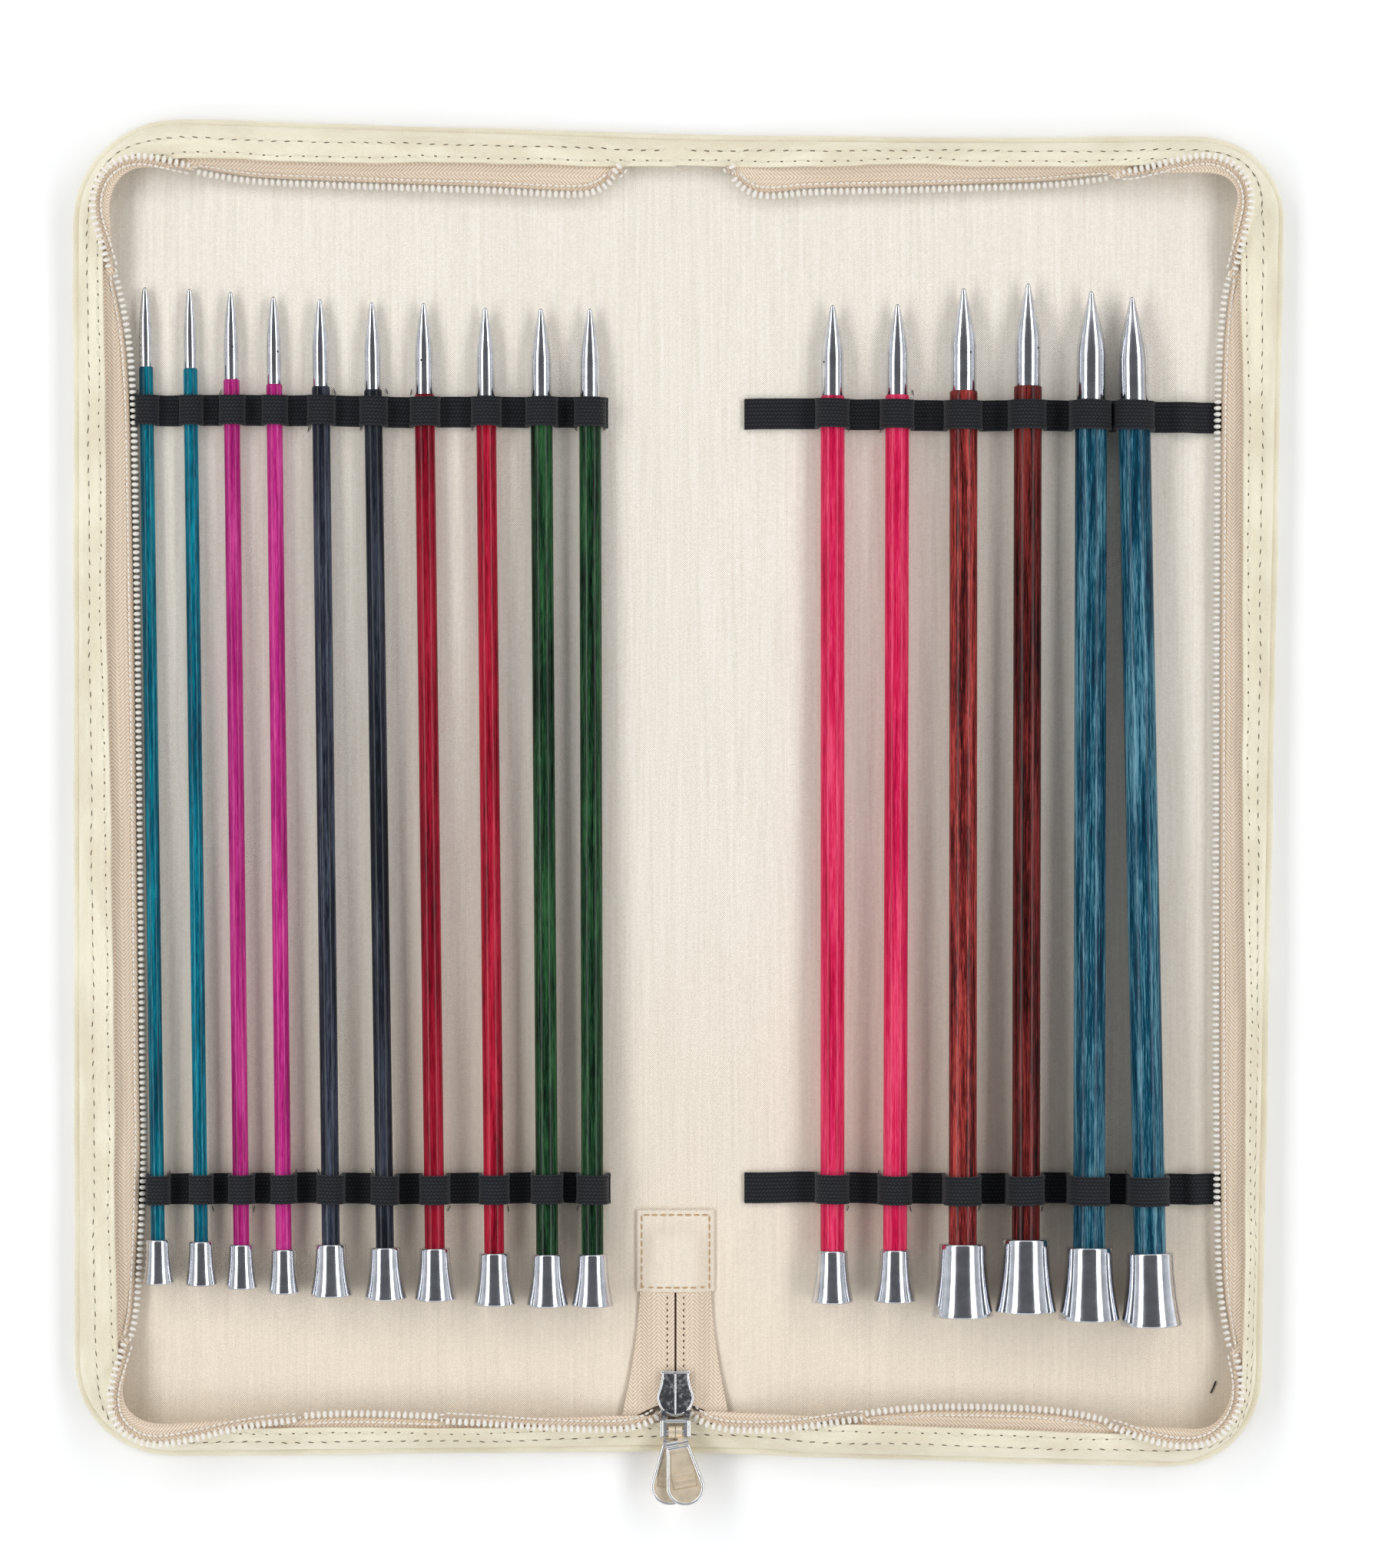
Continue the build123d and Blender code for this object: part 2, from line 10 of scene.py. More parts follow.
import bmesh
import bpy
import numpy as np
from bpy.props import FloatProperty, FloatVectorProperty, IntProperty, PointerProperty
from mathutils import Vector
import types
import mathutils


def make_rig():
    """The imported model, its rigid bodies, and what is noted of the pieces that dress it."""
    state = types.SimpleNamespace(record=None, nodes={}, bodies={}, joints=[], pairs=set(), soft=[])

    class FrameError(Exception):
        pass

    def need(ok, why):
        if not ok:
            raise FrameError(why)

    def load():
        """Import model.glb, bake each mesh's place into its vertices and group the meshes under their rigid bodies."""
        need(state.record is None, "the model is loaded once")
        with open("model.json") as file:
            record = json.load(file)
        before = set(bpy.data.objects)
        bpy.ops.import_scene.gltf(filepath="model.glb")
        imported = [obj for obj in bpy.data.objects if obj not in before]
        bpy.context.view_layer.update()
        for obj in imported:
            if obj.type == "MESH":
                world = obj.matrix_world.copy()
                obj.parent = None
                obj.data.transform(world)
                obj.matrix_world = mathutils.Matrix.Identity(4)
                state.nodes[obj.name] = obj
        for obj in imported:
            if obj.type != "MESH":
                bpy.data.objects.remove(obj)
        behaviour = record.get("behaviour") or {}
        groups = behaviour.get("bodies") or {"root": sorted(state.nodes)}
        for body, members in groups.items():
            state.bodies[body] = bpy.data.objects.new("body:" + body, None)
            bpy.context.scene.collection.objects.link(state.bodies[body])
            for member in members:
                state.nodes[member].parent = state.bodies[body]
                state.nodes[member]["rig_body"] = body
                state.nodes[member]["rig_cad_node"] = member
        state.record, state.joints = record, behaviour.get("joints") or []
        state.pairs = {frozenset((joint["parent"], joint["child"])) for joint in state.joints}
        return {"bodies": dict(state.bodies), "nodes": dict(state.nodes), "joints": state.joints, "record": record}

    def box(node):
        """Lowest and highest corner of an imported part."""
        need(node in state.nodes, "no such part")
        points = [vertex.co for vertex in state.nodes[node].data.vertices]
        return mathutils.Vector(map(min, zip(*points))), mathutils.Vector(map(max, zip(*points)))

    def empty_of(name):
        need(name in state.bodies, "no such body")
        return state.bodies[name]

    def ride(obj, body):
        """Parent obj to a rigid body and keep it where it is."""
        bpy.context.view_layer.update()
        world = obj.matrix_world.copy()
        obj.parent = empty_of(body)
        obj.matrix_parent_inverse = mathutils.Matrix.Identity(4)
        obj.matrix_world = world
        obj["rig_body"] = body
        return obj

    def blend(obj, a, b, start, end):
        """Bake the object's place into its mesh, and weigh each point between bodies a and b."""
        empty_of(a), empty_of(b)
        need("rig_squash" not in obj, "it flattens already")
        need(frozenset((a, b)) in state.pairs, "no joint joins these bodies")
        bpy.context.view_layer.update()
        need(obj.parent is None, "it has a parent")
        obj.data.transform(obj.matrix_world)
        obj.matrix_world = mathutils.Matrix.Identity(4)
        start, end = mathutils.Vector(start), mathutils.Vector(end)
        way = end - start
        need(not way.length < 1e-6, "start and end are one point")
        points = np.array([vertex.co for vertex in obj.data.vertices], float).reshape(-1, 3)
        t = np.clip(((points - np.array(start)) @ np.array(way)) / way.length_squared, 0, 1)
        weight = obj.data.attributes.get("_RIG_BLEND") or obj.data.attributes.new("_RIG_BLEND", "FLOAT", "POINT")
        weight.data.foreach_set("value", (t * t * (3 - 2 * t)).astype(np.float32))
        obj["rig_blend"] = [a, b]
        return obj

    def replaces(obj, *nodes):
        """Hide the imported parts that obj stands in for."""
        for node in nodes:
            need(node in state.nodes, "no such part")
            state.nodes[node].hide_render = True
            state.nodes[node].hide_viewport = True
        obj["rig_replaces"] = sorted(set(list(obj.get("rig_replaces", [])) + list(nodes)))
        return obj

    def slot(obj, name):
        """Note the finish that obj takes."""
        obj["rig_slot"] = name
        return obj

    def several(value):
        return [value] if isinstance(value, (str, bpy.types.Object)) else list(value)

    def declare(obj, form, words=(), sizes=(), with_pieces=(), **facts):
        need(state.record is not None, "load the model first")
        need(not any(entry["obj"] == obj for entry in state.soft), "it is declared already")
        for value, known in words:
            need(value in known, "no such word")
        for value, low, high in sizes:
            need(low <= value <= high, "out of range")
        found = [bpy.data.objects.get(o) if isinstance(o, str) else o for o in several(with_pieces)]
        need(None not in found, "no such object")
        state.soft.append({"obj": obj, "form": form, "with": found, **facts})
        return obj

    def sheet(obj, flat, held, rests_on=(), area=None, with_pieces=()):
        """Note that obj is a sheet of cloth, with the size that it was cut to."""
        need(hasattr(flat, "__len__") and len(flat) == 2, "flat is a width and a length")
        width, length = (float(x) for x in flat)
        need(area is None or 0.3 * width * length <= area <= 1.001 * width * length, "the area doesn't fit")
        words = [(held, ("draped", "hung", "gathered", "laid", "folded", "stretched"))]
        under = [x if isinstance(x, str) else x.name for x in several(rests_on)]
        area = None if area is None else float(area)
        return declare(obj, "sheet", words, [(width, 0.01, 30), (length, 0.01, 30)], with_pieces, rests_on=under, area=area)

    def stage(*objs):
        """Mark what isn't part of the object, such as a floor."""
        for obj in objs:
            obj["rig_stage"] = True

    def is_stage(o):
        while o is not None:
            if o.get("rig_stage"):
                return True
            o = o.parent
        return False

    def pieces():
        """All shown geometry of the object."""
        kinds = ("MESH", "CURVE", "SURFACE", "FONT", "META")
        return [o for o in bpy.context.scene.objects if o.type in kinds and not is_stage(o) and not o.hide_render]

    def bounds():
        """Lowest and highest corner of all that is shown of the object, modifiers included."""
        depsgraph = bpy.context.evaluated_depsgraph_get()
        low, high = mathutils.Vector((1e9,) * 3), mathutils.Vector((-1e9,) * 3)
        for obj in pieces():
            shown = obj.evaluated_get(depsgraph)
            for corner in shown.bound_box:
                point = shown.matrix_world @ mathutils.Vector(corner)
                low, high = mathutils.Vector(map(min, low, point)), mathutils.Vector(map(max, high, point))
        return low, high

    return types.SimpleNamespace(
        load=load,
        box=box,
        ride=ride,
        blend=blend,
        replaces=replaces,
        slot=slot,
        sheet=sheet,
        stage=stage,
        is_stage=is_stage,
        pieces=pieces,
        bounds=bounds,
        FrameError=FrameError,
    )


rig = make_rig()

bl_info = {
    "name": "Needle Case",
    "version": (1, 0, 0),
    "blender": (4, 5, 0),
    "location": "View3D > Sidebar > Needle Case",
    "description": "Builds the cloth, zip, elastic and needles of an open zip case",
    "category": "Object",
}

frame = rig.load()
CAD_BOX = [list(corner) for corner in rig.bounds()]
TURN = 2 * math.pi
SIDES = {"left": -1, "right": 1}
PANEL_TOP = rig.box("lining_right")[1].z * 1000
FOLD = abs(next(j for j in frame["joints"] if j["name"] == "fold_right")["pos_m"][0]) * 1000
EYE = np.array((5.9, 3.1, 1300.0))  # the place right above the case from which it is seen
NEEDLES = sorted(name for name in frame["bodies"] if name.startswith("needle"))
BANDS = [f"elastic_band_{row}_{side}" for row in ("upper", "lower") for side in SIDES]
WOODS = {
    "3_5": "teal",
    "4_0": "fuchsia",
    "4_5": "ink",
    "5_0": "crimson",
    "5_5": "green",
    "6_0": "pink_red",
    "7_0": "mahogany",
    "8_0": "petrol",
}


# ---- settings ----


def length(name, description, default):
    """A length setting in millimetres."""
    return FloatProperty(name=name, description=description, default=default, min=0.0)


def colour(name, description, default):
    """A linear colour setting."""
    return FloatVectorProperty(
        name=name, description=description, default=default, subtype="COLOR", min=0, max=1
    )


class CaseSizes(bpy.types.PropertyGroup):
    """Sizes of the case's cloth, zip and elastic, in millimetres."""

    corner: length("Corner radius", "Plan radius of the outer corners", 24.0)
    lip: length("Cover lip", "How far the cover stands outside the wall's seam", 2.0)
    wall_left: length("Left wall", "Width of the left half's wall, with the lip", 9.9)
    wall_right: length("Right wall", "Width of the right half's wall, with the lip", 8.1)
    wall_top: length("Top wall", "Width of the wall at the points' end, with the lip", 8.5)
    wall_bottom: length("Bottom wall", "Width of the wall at the stoppers' end", 8.4)
    wall_height: length("Wall height", "Top of the wall above the table", 10.0)
    spine_height: length("Spine band height", "Top of the wall where it crosses the spine", 5.7)
    stitch: length("Stitch", "Length of one running stitch", 1.9)
    stitch_pitch: length("Stitch pitch", "From one running stitch to the next", 3.3)
    bead_pitch: length("Bead pitch", "From one turn of the zip's coil to the next", 1.55)
    bead: length("Bead", "Width of one bead of the coil", 1.15)
    elastic: length("Elastic thickness", "Thickness of the elastic bands", 0.86)


class CaseColours(bpy.types.PropertyGroup):
    """Colours of the case."""

    twill: colour("Outer twill", "Cotton of the cover and walls", (0.90, 0.85, 0.68))
    twill_dark: colour("Twill shade", "The twill between its threads", (0.70, 0.62, 0.45))
    satin: colour("Lining", "Threads of the lining", (0.70, 0.61, 0.50))
    satin_light: colour("Lining sheen", "Threads that catch the light", (0.98, 0.94, 0.86))
    tape: colour("Zip tape", "Herringbone tape", (0.87, 0.75, 0.61))
    coil: colour("Zip coil", "Translucent nylon", (0.93, 0.82, 0.74))
    elastic: colour("Elastic", "Braided elastic", (0.0035, 0.004, 0.0055))


class NeedleSizes(bpy.types.PropertyGroup):
    """Sizes and finish of the needles."""

    sides: IntProperty(name="Sides", description="Facets round a shaft", default=40, min=8)
    tenon: length("Tenon", "How far the shaft runs inside the metal point", 7.0)
    gloss: FloatProperty(
        name="Lacquer", description="Strength of the clear coat", default=0.24, min=0, max=1
    )


# ---- curves and surfaces ----


def smooth(x, low, high):
    """Rises from 0 at low to 1 at high along 3t^2 - 2t^3."""
    t = np.clip((np.asarray(x, float) - low) / (high - low), 0, 1)
    return t * t * (3 - 2 * t)


def ripple(t, seed, size, longest):
    """A sum of five sines, each half as long and half as high as the one before."""
    octave = 2.0 ** np.arange(5)
    phase = np.random.default_rng(seed).uniform(0, TURN, 5)
    waves = np.sin(TURN * np.asarray(t, float)[..., None] * octave / longest + phase) / octave
    return size * waves.sum(-1)


def curve(points, count, closed=False):
    """A Catmull-Rom curve through the points, sampled at count equal parameter steps."""
    p = np.asarray(points, float)
    n = len(p) if closed else len(p) - 1
    t = np.linspace(0, n, count, endpoint=not closed)
    i = np.minimum(t.astype(int), n - 1)
    f = (t - i)[:, None]
    pick = (lambda k: p[k % len(p)]) if closed else (lambda k: p[np.clip(k, 0, len(p) - 1)])
    a, b, c, d = (pick(i + k) for k in (-1, 0, 1, 2))
    return 0.5 * (2 * b + (c - a) * f + (2 * a - 5 * b + 4 * c - d) * f**2
                  + (3 * b - a - 3 * c + d) * f**3)


def run_length(p):
    """Distance along a polyline at each of its points."""
    return np.concatenate([[0], np.cumsum(np.linalg.norm(np.diff(p, axis=0), axis=1))])


def respaced(p, step):
    """The polyline with its points about step apart."""
    s = run_length(p)
    t = np.linspace(0, s[-1], max(2, round(s[-1] / step) + 1))
    return along_path(t, s, p)[0]


def softened(p, width):
    """Each point averaged with its neighbours over an odd width, with the ends kept."""
    half = width // 2
    padded = np.concatenate([2 * p[:1] - p[half:0:-1], p, 2 * p[-1:] - p[-2:-half - 2:-1]])
    kernel = np.ones(width) / width
    return np.stack([np.convolve(column, kernel, "valid") for column in padded.T], -1)


def directions(p):
    """Unit tangents of a polyline."""
    d = np.gradient(p, axis=0)
    return d / np.linalg.norm(d, axis=1, keepdims=True)


def along_path(where, s, *paths):
    """Each path, known at distances s, read off at other distances."""
    return [np.stack([np.interp(where, s, column) for column in path.T], -1) for path in paths]


def upright(like):
    """The upward direction for every row of like."""
    return np.broadcast_to((0.0, 0.0, 1.0), like.shape)


def flat_on(plan, z=0.0):
    """Plan points or directions as three coordinates at one height."""
    return np.column_stack([plan, np.full(len(plan), z)])


def circle(count, wide=1.0, tall=None):
    """Points evenly round an ellipse that reaches wide and tall from its middle."""
    angle = np.arange(count) / count * TURN
    return np.stack([np.cos(angle) * wide, np.sin(angle) * (wide if tall is None else tall)], -1)


def quads(rows, columns, close=False):
    """Corners of the quads between the points of a grid; close joins the last column to the first."""
    r = np.arange(rows - 1)[:, None] * columns
    c = np.arange(columns if close else columns - 1)[None, :]
    d = (c + 1) % columns
    return np.stack([r + c, r + d, r + columns + d, r + columns + c], -1).reshape(-1, 4)


def quad_uv(u, v):
    """Corner coordinates for those quads from grids that hold the closing column as well."""
    w = np.stack([u, v], -1)
    corners = np.stack([w[:-1, :-1], w[:-1, 1:], w[1:, 1:], w[1:, :-1]], -2)
    return corners.reshape(-1, 4, 2)


def slab(top, bottom, u, v):
    """A closed sheet: the top grid, the bottom grid and a strip round their edge."""
    rows, columns = top.shape[:2]
    ring = np.concatenate([top, bottom[:, ::-1]], 1)
    wide = np.concatenate([u, u[:, ::-1], u[:, :1]], 1)
    tall = np.concatenate([v, v[:, ::-1], v[:, :1]], 1)
    faces, uv = quads(rows, 2 * columns, True), quad_uv(wide, tall)
    caps, cap_uv = [], []
    for r in (0, rows - 1):
        c = np.arange(columns - 1)
        base = r * 2 * columns
        caps.append(base + np.stack([c, c + 1, 2 * columns - 2 - c, 2 * columns - 1 - c], -1))
        pair = np.stack([u[r], v[r]], -1)
        cap_uv.append(np.stack([pair[:-1], pair[1:], pair[1:], pair[:-1]], -2))
    return ring.reshape(-1, 3), np.concatenate([faces, *caps]), np.concatenate([uv, *cap_uv])


def pipe(rings, u, v):
    """A closed tube: rings of points carried along a path, with a fan to each end's middle."""
    rows, columns = rings.shape[:2]
    points = np.concatenate([rings.reshape(-1, 3), rings[0].mean(0)[None], rings[-1].mean(0)[None]])
    faces, uv = quads(rows, columns, True), quad_uv(u, v)
    c = np.arange(columns)
    d = (c + 1) % columns
    fans, fan_uv = [], []
    for row, centre in ((0, rows * columns), (rows - 1, rows * columns + 1)):
        middle = np.full(columns, centre)
        fans.append(np.stack([row * columns + c, row * columns + d, middle], -1))
        a = np.stack([u[row], v[row]], -1)
        fan_uv.append(np.stack([a[:-1], a[1:], (a[:-1] + a[1:]) / 2], -2))
    return points, [faces, np.concatenate(fans)], [uv, np.concatenate(fan_uv)]


def swept(centres, across, up, profile, step=0.0):
    """A profile of (a, b) pairs carried along a path: each point is centre + a*across + b*up.
    The profile may be one (n, 2) array or one for each centre."""
    profile = np.broadcast_to(profile, (len(centres), *np.shape(profile)[-2:]))
    rings = (centres[:, None] + profile[..., :1] * across[:, None] + profile[..., 1:] * up[:, None])
    s = run_length(centres)
    closed = np.concatenate([profile, profile[:, :1]], 1)
    v = np.linalg.norm(np.diff(closed, axis=1), axis=2).cumsum(1)
    v = np.concatenate([np.zeros((len(v), 1)), v], 1)
    return pipe(rings, np.broadcast_to(s[:, None], v.shape), v)


def capsules(middles, along, up, length, width, height=None):
    """Small closed grains: an ellipsoid of the given length, width and height at each middle,
    squared off a little along its length, with six sides and a fan at each end."""
    height = width if height is None else height
    side = np.cross(up, along)
    t = np.array([-0.86, -0.4, 0.4, 0.86])
    r = np.array([0.62, 1.0, 1.0, 0.62])
    angle = np.arange(6) / 6 * TURN
    a, b = np.cos(angle) * width / 2, np.sin(angle) * height / 2
    body = (
        along[:, None, None] * (t * length / 2)[:, None, None]
        + side[:, None, None] * (r[:, None] * a)[..., None]
        + up[:, None, None] * (r[:, None] * b)[..., None]
    )
    ends = along[:, None] * np.array([-1, 1])[None, :, None] * length / 2
    local = np.concatenate([body.reshape(len(middles), 24, 3), ends], 1)
    points = (middles[:, None] + local).reshape(-1, 3)
    c = np.arange(6)
    d = (c + 1) % 6
    fans = np.concatenate([
        np.stack([np.full(6, 24), d, c], -1), np.stack([np.full(6, 25), 18 + c, 18 + d], -1)
    ])
    shift = 26 * np.arange(len(middles))[:, None, None]
    return points, [(quads(4, 6, True) + shift).reshape(-1, 4), (fans + shift).reshape(-1, 3)], None


def lathe(origin, axis, profile, sides, phase=-TURN / 4):
    """A turned piece: (distance along the axis, radius) pairs spun round it. A pair with no
    radius is a pole. u is the way round at the widest radius and v the way along."""
    profile = np.asarray(profile, float)
    axis = axis / np.linalg.norm(axis)
    across = np.cross(axis, (0, 0, 1))
    across /= np.linalg.norm(across)
    up = np.cross(across, axis)
    angle = phase + np.arange(sides) / sides * TURN
    spoke = np.cos(angle)[:, None] * across + np.sin(angle)[:, None] * up
    ring = profile[profile[:, 1] > 0]
    rings = origin + ring[:, :1, None] * axis + ring[:, 1:, None] * spoke
    u = np.linspace(0, TURN * profile[:, 1].max(), sides + 1)[None, :].repeat(len(ring), 0)
    v = ring[:, :1].repeat(sides + 1, 1)
    points, faces, uv = pipe(rings, u, v)
    points[-2] = origin + axis * profile[0, 0]
    points[-1] = origin + axis * profile[-1, 0]
    return points, faces, uv


def piece(name, parts, material, slot=None):
    """Makes one mesh of (points, faces, corner coordinates) parts in millimetres, with its
    normals outwards. Faces and coordinates are one array or a list by number of corners."""
    points, loops, sizes, coords, start = [], [], [], [], 0
    for p, faces, uv in parts:
        faces = faces if isinstance(faces, list) else [faces]
        uv = [None] * len(faces) if uv is None else uv if isinstance(uv, list) else [uv]
        for f, w in zip(faces, uv):
            loops.append((f + start).ravel())
            sizes.append(np.full(len(f), f.shape[1]))
            coords.append(np.zeros((f.size, 2)) if w is None else w.reshape(-1, 2))
        points.append(p)
        start += len(p)
    points, loops = np.concatenate(points) / 1000, np.concatenate(loops)
    sizes, coords = np.concatenate(sizes), np.concatenate(coords)
    mesh = bpy.data.meshes.new(name)
    mesh.vertices.add(len(points))
    mesh.vertices.foreach_set("co", points.astype(np.float32).ravel())
    mesh.loops.add(len(loops))
    mesh.loops.foreach_set("vertex_index", loops.astype(np.int32))
    mesh.polygons.add(len(sizes))
    starts = np.concatenate([[0], np.cumsum(sizes)[:-1]])
    mesh.polygons.foreach_set("loop_start", starts.astype(np.int32))
    mesh.uv_layers.new(name="cloth").data.foreach_set("uv", coords.astype(np.float32).ravel())
    mesh.update(calc_edges=True)
    mesh.validate()
    edit = bmesh.new()
    edit.from_mesh(mesh)
    bmesh.ops.recalc_face_normals(edit, faces=edit.faces)
    edit.to_mesh(mesh)
    edit.free()
    mesh.polygons.foreach_set("use_smooth", np.full(len(sizes), True))
    mesh.set_sharp_from_angle(angle=math.radians(58))
    mesh.materials.append(material)
    obj = bpy.data.objects.new(name, mesh)
    bpy.context.scene.collection.objects.link(obj)
    if slot:
        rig.slot(obj, slot)
    return obj


def folds_with(obj, side):
    """The piece bends with one half of the case where it crosses the fold line."""
    s = SIDES[side]
    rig.blend(obj, "spine", f"{side}_half", start=(s * (FOLD - 5) / 1000, 0, 0),
             end=(s * (FOLD + 5) / 1000, 0, 0))


# ---- shader maths ----


class Value:
    """A socket that takes part in sums: each operation adds its Math node."""

    def __init__(self, finish, socket):
        self.finish, self.socket = finish, socket

    def do(self, operation, *others):
        """One Math node with this value first."""
        return self.finish.node(
            "ShaderNodeMath", {"operation": operation}, {i: x for i, x in enumerate((self, *others))}
        )

    def __add__(self, other):
        return self.do("ADD", other)

    def __sub__(self, other):
        return self.do("SUBTRACT", other)

    def __mul__(self, other):
        return self.do("MULTIPLY", other)

    def __neg__(self):
        return self.do("MULTIPLY", -1.0)

    def __rsub__(self, other):
        return (-self).do("ADD", other)

    __radd__, __rmul__ = __add__, __mul__

    def sin(self):
        """The sine of this value in turns."""
        return (self * TURN).do("SINE")

    def zigzag(self):
        """0 to 1 and back over each whole number."""
        return self.do("PINGPONG", 0.5) * 2.0

    def step(self, low, high):
        """0 below low, 1 above high and smooth between."""
        return self.finish.node(
            "ShaderNodeMapRange",
            {"interpolation_type": "SMOOTHSTEP"},
            {"Value": self, "From Min": low, "From Max": high},
        )


class Finish:
    """One material under construction."""

    def __init__(self, name, **settings):
        self.material = bpy.data.materials.new(name)
        self.material.use_nodes = True
        self.tree = self.material.node_tree
        self.surface = self.tree.nodes["Principled BSDF"]
        for key, value in settings.items():
            self.surface.inputs[key.replace("_", " ")].default_value = value

    def node(self, kind, settings=None, sockets=None, output=0):
        """Adds a node: its settings first, then a value or a link for each named socket."""
        made = self.tree.nodes.new(kind)
        for key, value in (settings or {}).items():
            if key == "stops":
                for i, (place, tone) in enumerate(value):
                    stop = made.color_ramp.elements[i] if i < 2 else made.color_ramp.elements.new(place)
                    stop.position, stop.color = place, (*tone, 1.0)
            else:
                setattr(made, key, value)
        for key, value in (sockets or {}).items():
            self.put(made.inputs[key], value)
        return Value(self, made.outputs[output])

    def put(self, socket, value):
        """Links a value, or sets a number, colour or vector."""
        if isinstance(value, Value):
            self.tree.links.new(value.socket, socket)
        elif hasattr(value, "__len__") and len(value) == 3 and socket.type == "RGBA":
            socket.default_value = (*value, 1.0)
        else:
            socket.default_value = value

    def set(self, **sockets):
        """Feeds the surface's sockets."""
        for key, value in sockets.items():
            self.put(self.surface.inputs[key.replace("_", " ")], value)
        return self

    def place(self):
        """Object coordinates in millimetres, as a vector value."""
        coords = self.node("ShaderNodeTexCoord", output=3)
        return self.node("ShaderNodeVectorMath", {"operation": "SCALE"}, {0: coords, "Scale": 1000.0})

    def cloth(self):
        """The piece's own cloth coordinates in millimetres, as a vector value."""
        return self.node("ShaderNodeUVMap", {"uv_map": "cloth"})

    def parts(self, vector):
        """A vector's x, y and z."""
        made = self.tree.nodes.new("ShaderNodeSeparateXYZ")
        self.put(made.inputs[0], vector)
        return [Value(self, socket) for socket in made.outputs]

    def stretched(self, vector, scale):
        """The vector times a scale for each axis."""
        return self.node("ShaderNodeVectorMath", {"operation": "MULTIPLY"}, {0: vector, 1: scale})

    def noise(self, vector, scale=(1, 1, 1), detail=2.0, rough=0.5):
        """Noise from 0 to 1 whose features are 1 / scale millimetres long on each axis."""
        return self.node(
            "ShaderNodeTexNoise",
            sockets={"Vector": self.stretched(vector, scale), "Scale": 1.0, "Detail": detail,
                     "Roughness": rough},
        )

    def mix(self, share, a, b):
        """Colour a, or b where share is 1."""
        return self.node("ShaderNodeMix", {"data_type": "RGBA"}, {0: share, 6: a, 7: b}, 2)

    def bump(self, height, depth, strength=1.0):
        """A normal from a height that spans depth millimetres."""
        sockets = {"Height": height, "Distance": depth / 1000, "Strength": strength}
        return self.node("ShaderNodeBump", None, sockets)


BLACK_THREAD = (0.012, 0.012, 0.015)


def scaled(tint, share):
    """A colour made darker or lighter by one share, or by a share for each channel."""
    return tuple(min(1.0, c * k) for c, k in zip(tint, np.broadcast_to(share, 3)))


def twill(name, colours):
    """Cotton twill: fine diagonal ribs, a loose fuzz of threads and faint patches of shade."""
    f = Finish(name, Roughness=0.86, Sheen_Weight=0.25, Sheen_Roughness=0.5, Specular_IOR_Level=0.25)
    at = f.cloth()
    u, v, _ = f.parts(at)
    rib = ((u * 0.9 + v * 1.6 + f.noise(at, (0.4, 0.4, 1)) * 0.35) * 1.35).sin() * 0.5 + 0.5
    thread = f.noise(at, (2.6, 1.0, 1), 3.0, 0.65)
    patch = f.noise(at, (0.035, 0.09, 1), 4.0, 0.6)
    tone = rib * 0.26 + thread * 0.36 + patch.step(0.3, 0.75) * 0.38
    f.set(
        Base_Color=f.mix(tone.step(0.12, 0.72), colours.twill_dark, colours.twill),
        Roughness=0.94 - thread * 0.16,
        Normal=f.bump(rib * 0.6 + thread * 0.5 + patch * 1.2, 0.16, 0.55),
    )
    return f.material


def satin(name, colours):
    """Lining: a fine plain weave whose crossing threads catch the light, warmer towards the foot."""
    f = Finish(name, Roughness=0.5, Sheen_Weight=0.35, Sheen_Roughness=0.35, Specular_IOR_Level=0.35)
    at = f.place()
    x, y, _ = f.parts(at)
    slow = f.noise(at, (0.35, 0.35, 0.1), 2.0, 0.5)
    over = (x * 1.79 + slow * 0.3).sin() * (y * 2.0 + slow * 0.3).sin()
    warp = f.noise(at, (1.3, 0.03, 0.1), 3.0, 0.7)
    dash = f.noise(at, (1.7, 1.7, 0.5), 2.0, 0.7)
    wide = f.noise(at, (0.012, 0.018, 0.01), 3.0, 0.5)
    tone = over * 0.30 + warp * 0.42 + dash * 0.42 + wide * 0.06
    # Painted light: the light threads are made warmer and dimmer towards the foot, standing for a warm light falling
    # there.
    painted_warm_light = scaled(colours.satin_light, (0.97, 0.88, 0.79))
    light = f.mix(y.step(-175.0, 30.0), painted_warm_light, colours.satin_light)
    f.set(
        Base_Color=f.mix(tone.step(0.14, 0.66), colours.satin, light),
        Roughness=0.66 - dash * 0.24,
        Normal=f.bump(over * 0.7 + warp * 0.3 + dash * 0.4, 0.13, 0.6),
    )
    return f.material


def herringbone(name, colours):
    """Zip tape: rows of slanting threads that turn back every two millimetres."""
    f = Finish(name, Roughness=0.75, Sheen_Weight=0.2, Specular_IOR_Level=0.3)
    at = f.cloth()
    u, v, _ = f.parts(at)
    thread = (u * 1.0 + (v * 0.24).zigzag() * 2.4).sin() * 0.5 + 0.5
    row = (v * 0.84).sin() * 0.5 + 0.5
    fuzz = f.noise(at, (2.0, 2.0, 1), 3.0, 0.6)
    tone = thread * 0.5 + row * 0.14 + fuzz * 0.4
    dark = scaled(colours.tape, (0.70, 0.60, 0.52))
    f.set(
        Base_Color=f.mix(tone.step(0.15, 0.85), dark, colours.tape),
        Roughness=0.86 - thread * 0.22,
        Normal=f.bump(thread + fuzz * 0.4, 0.16, 0.7),
    )
    return f.material


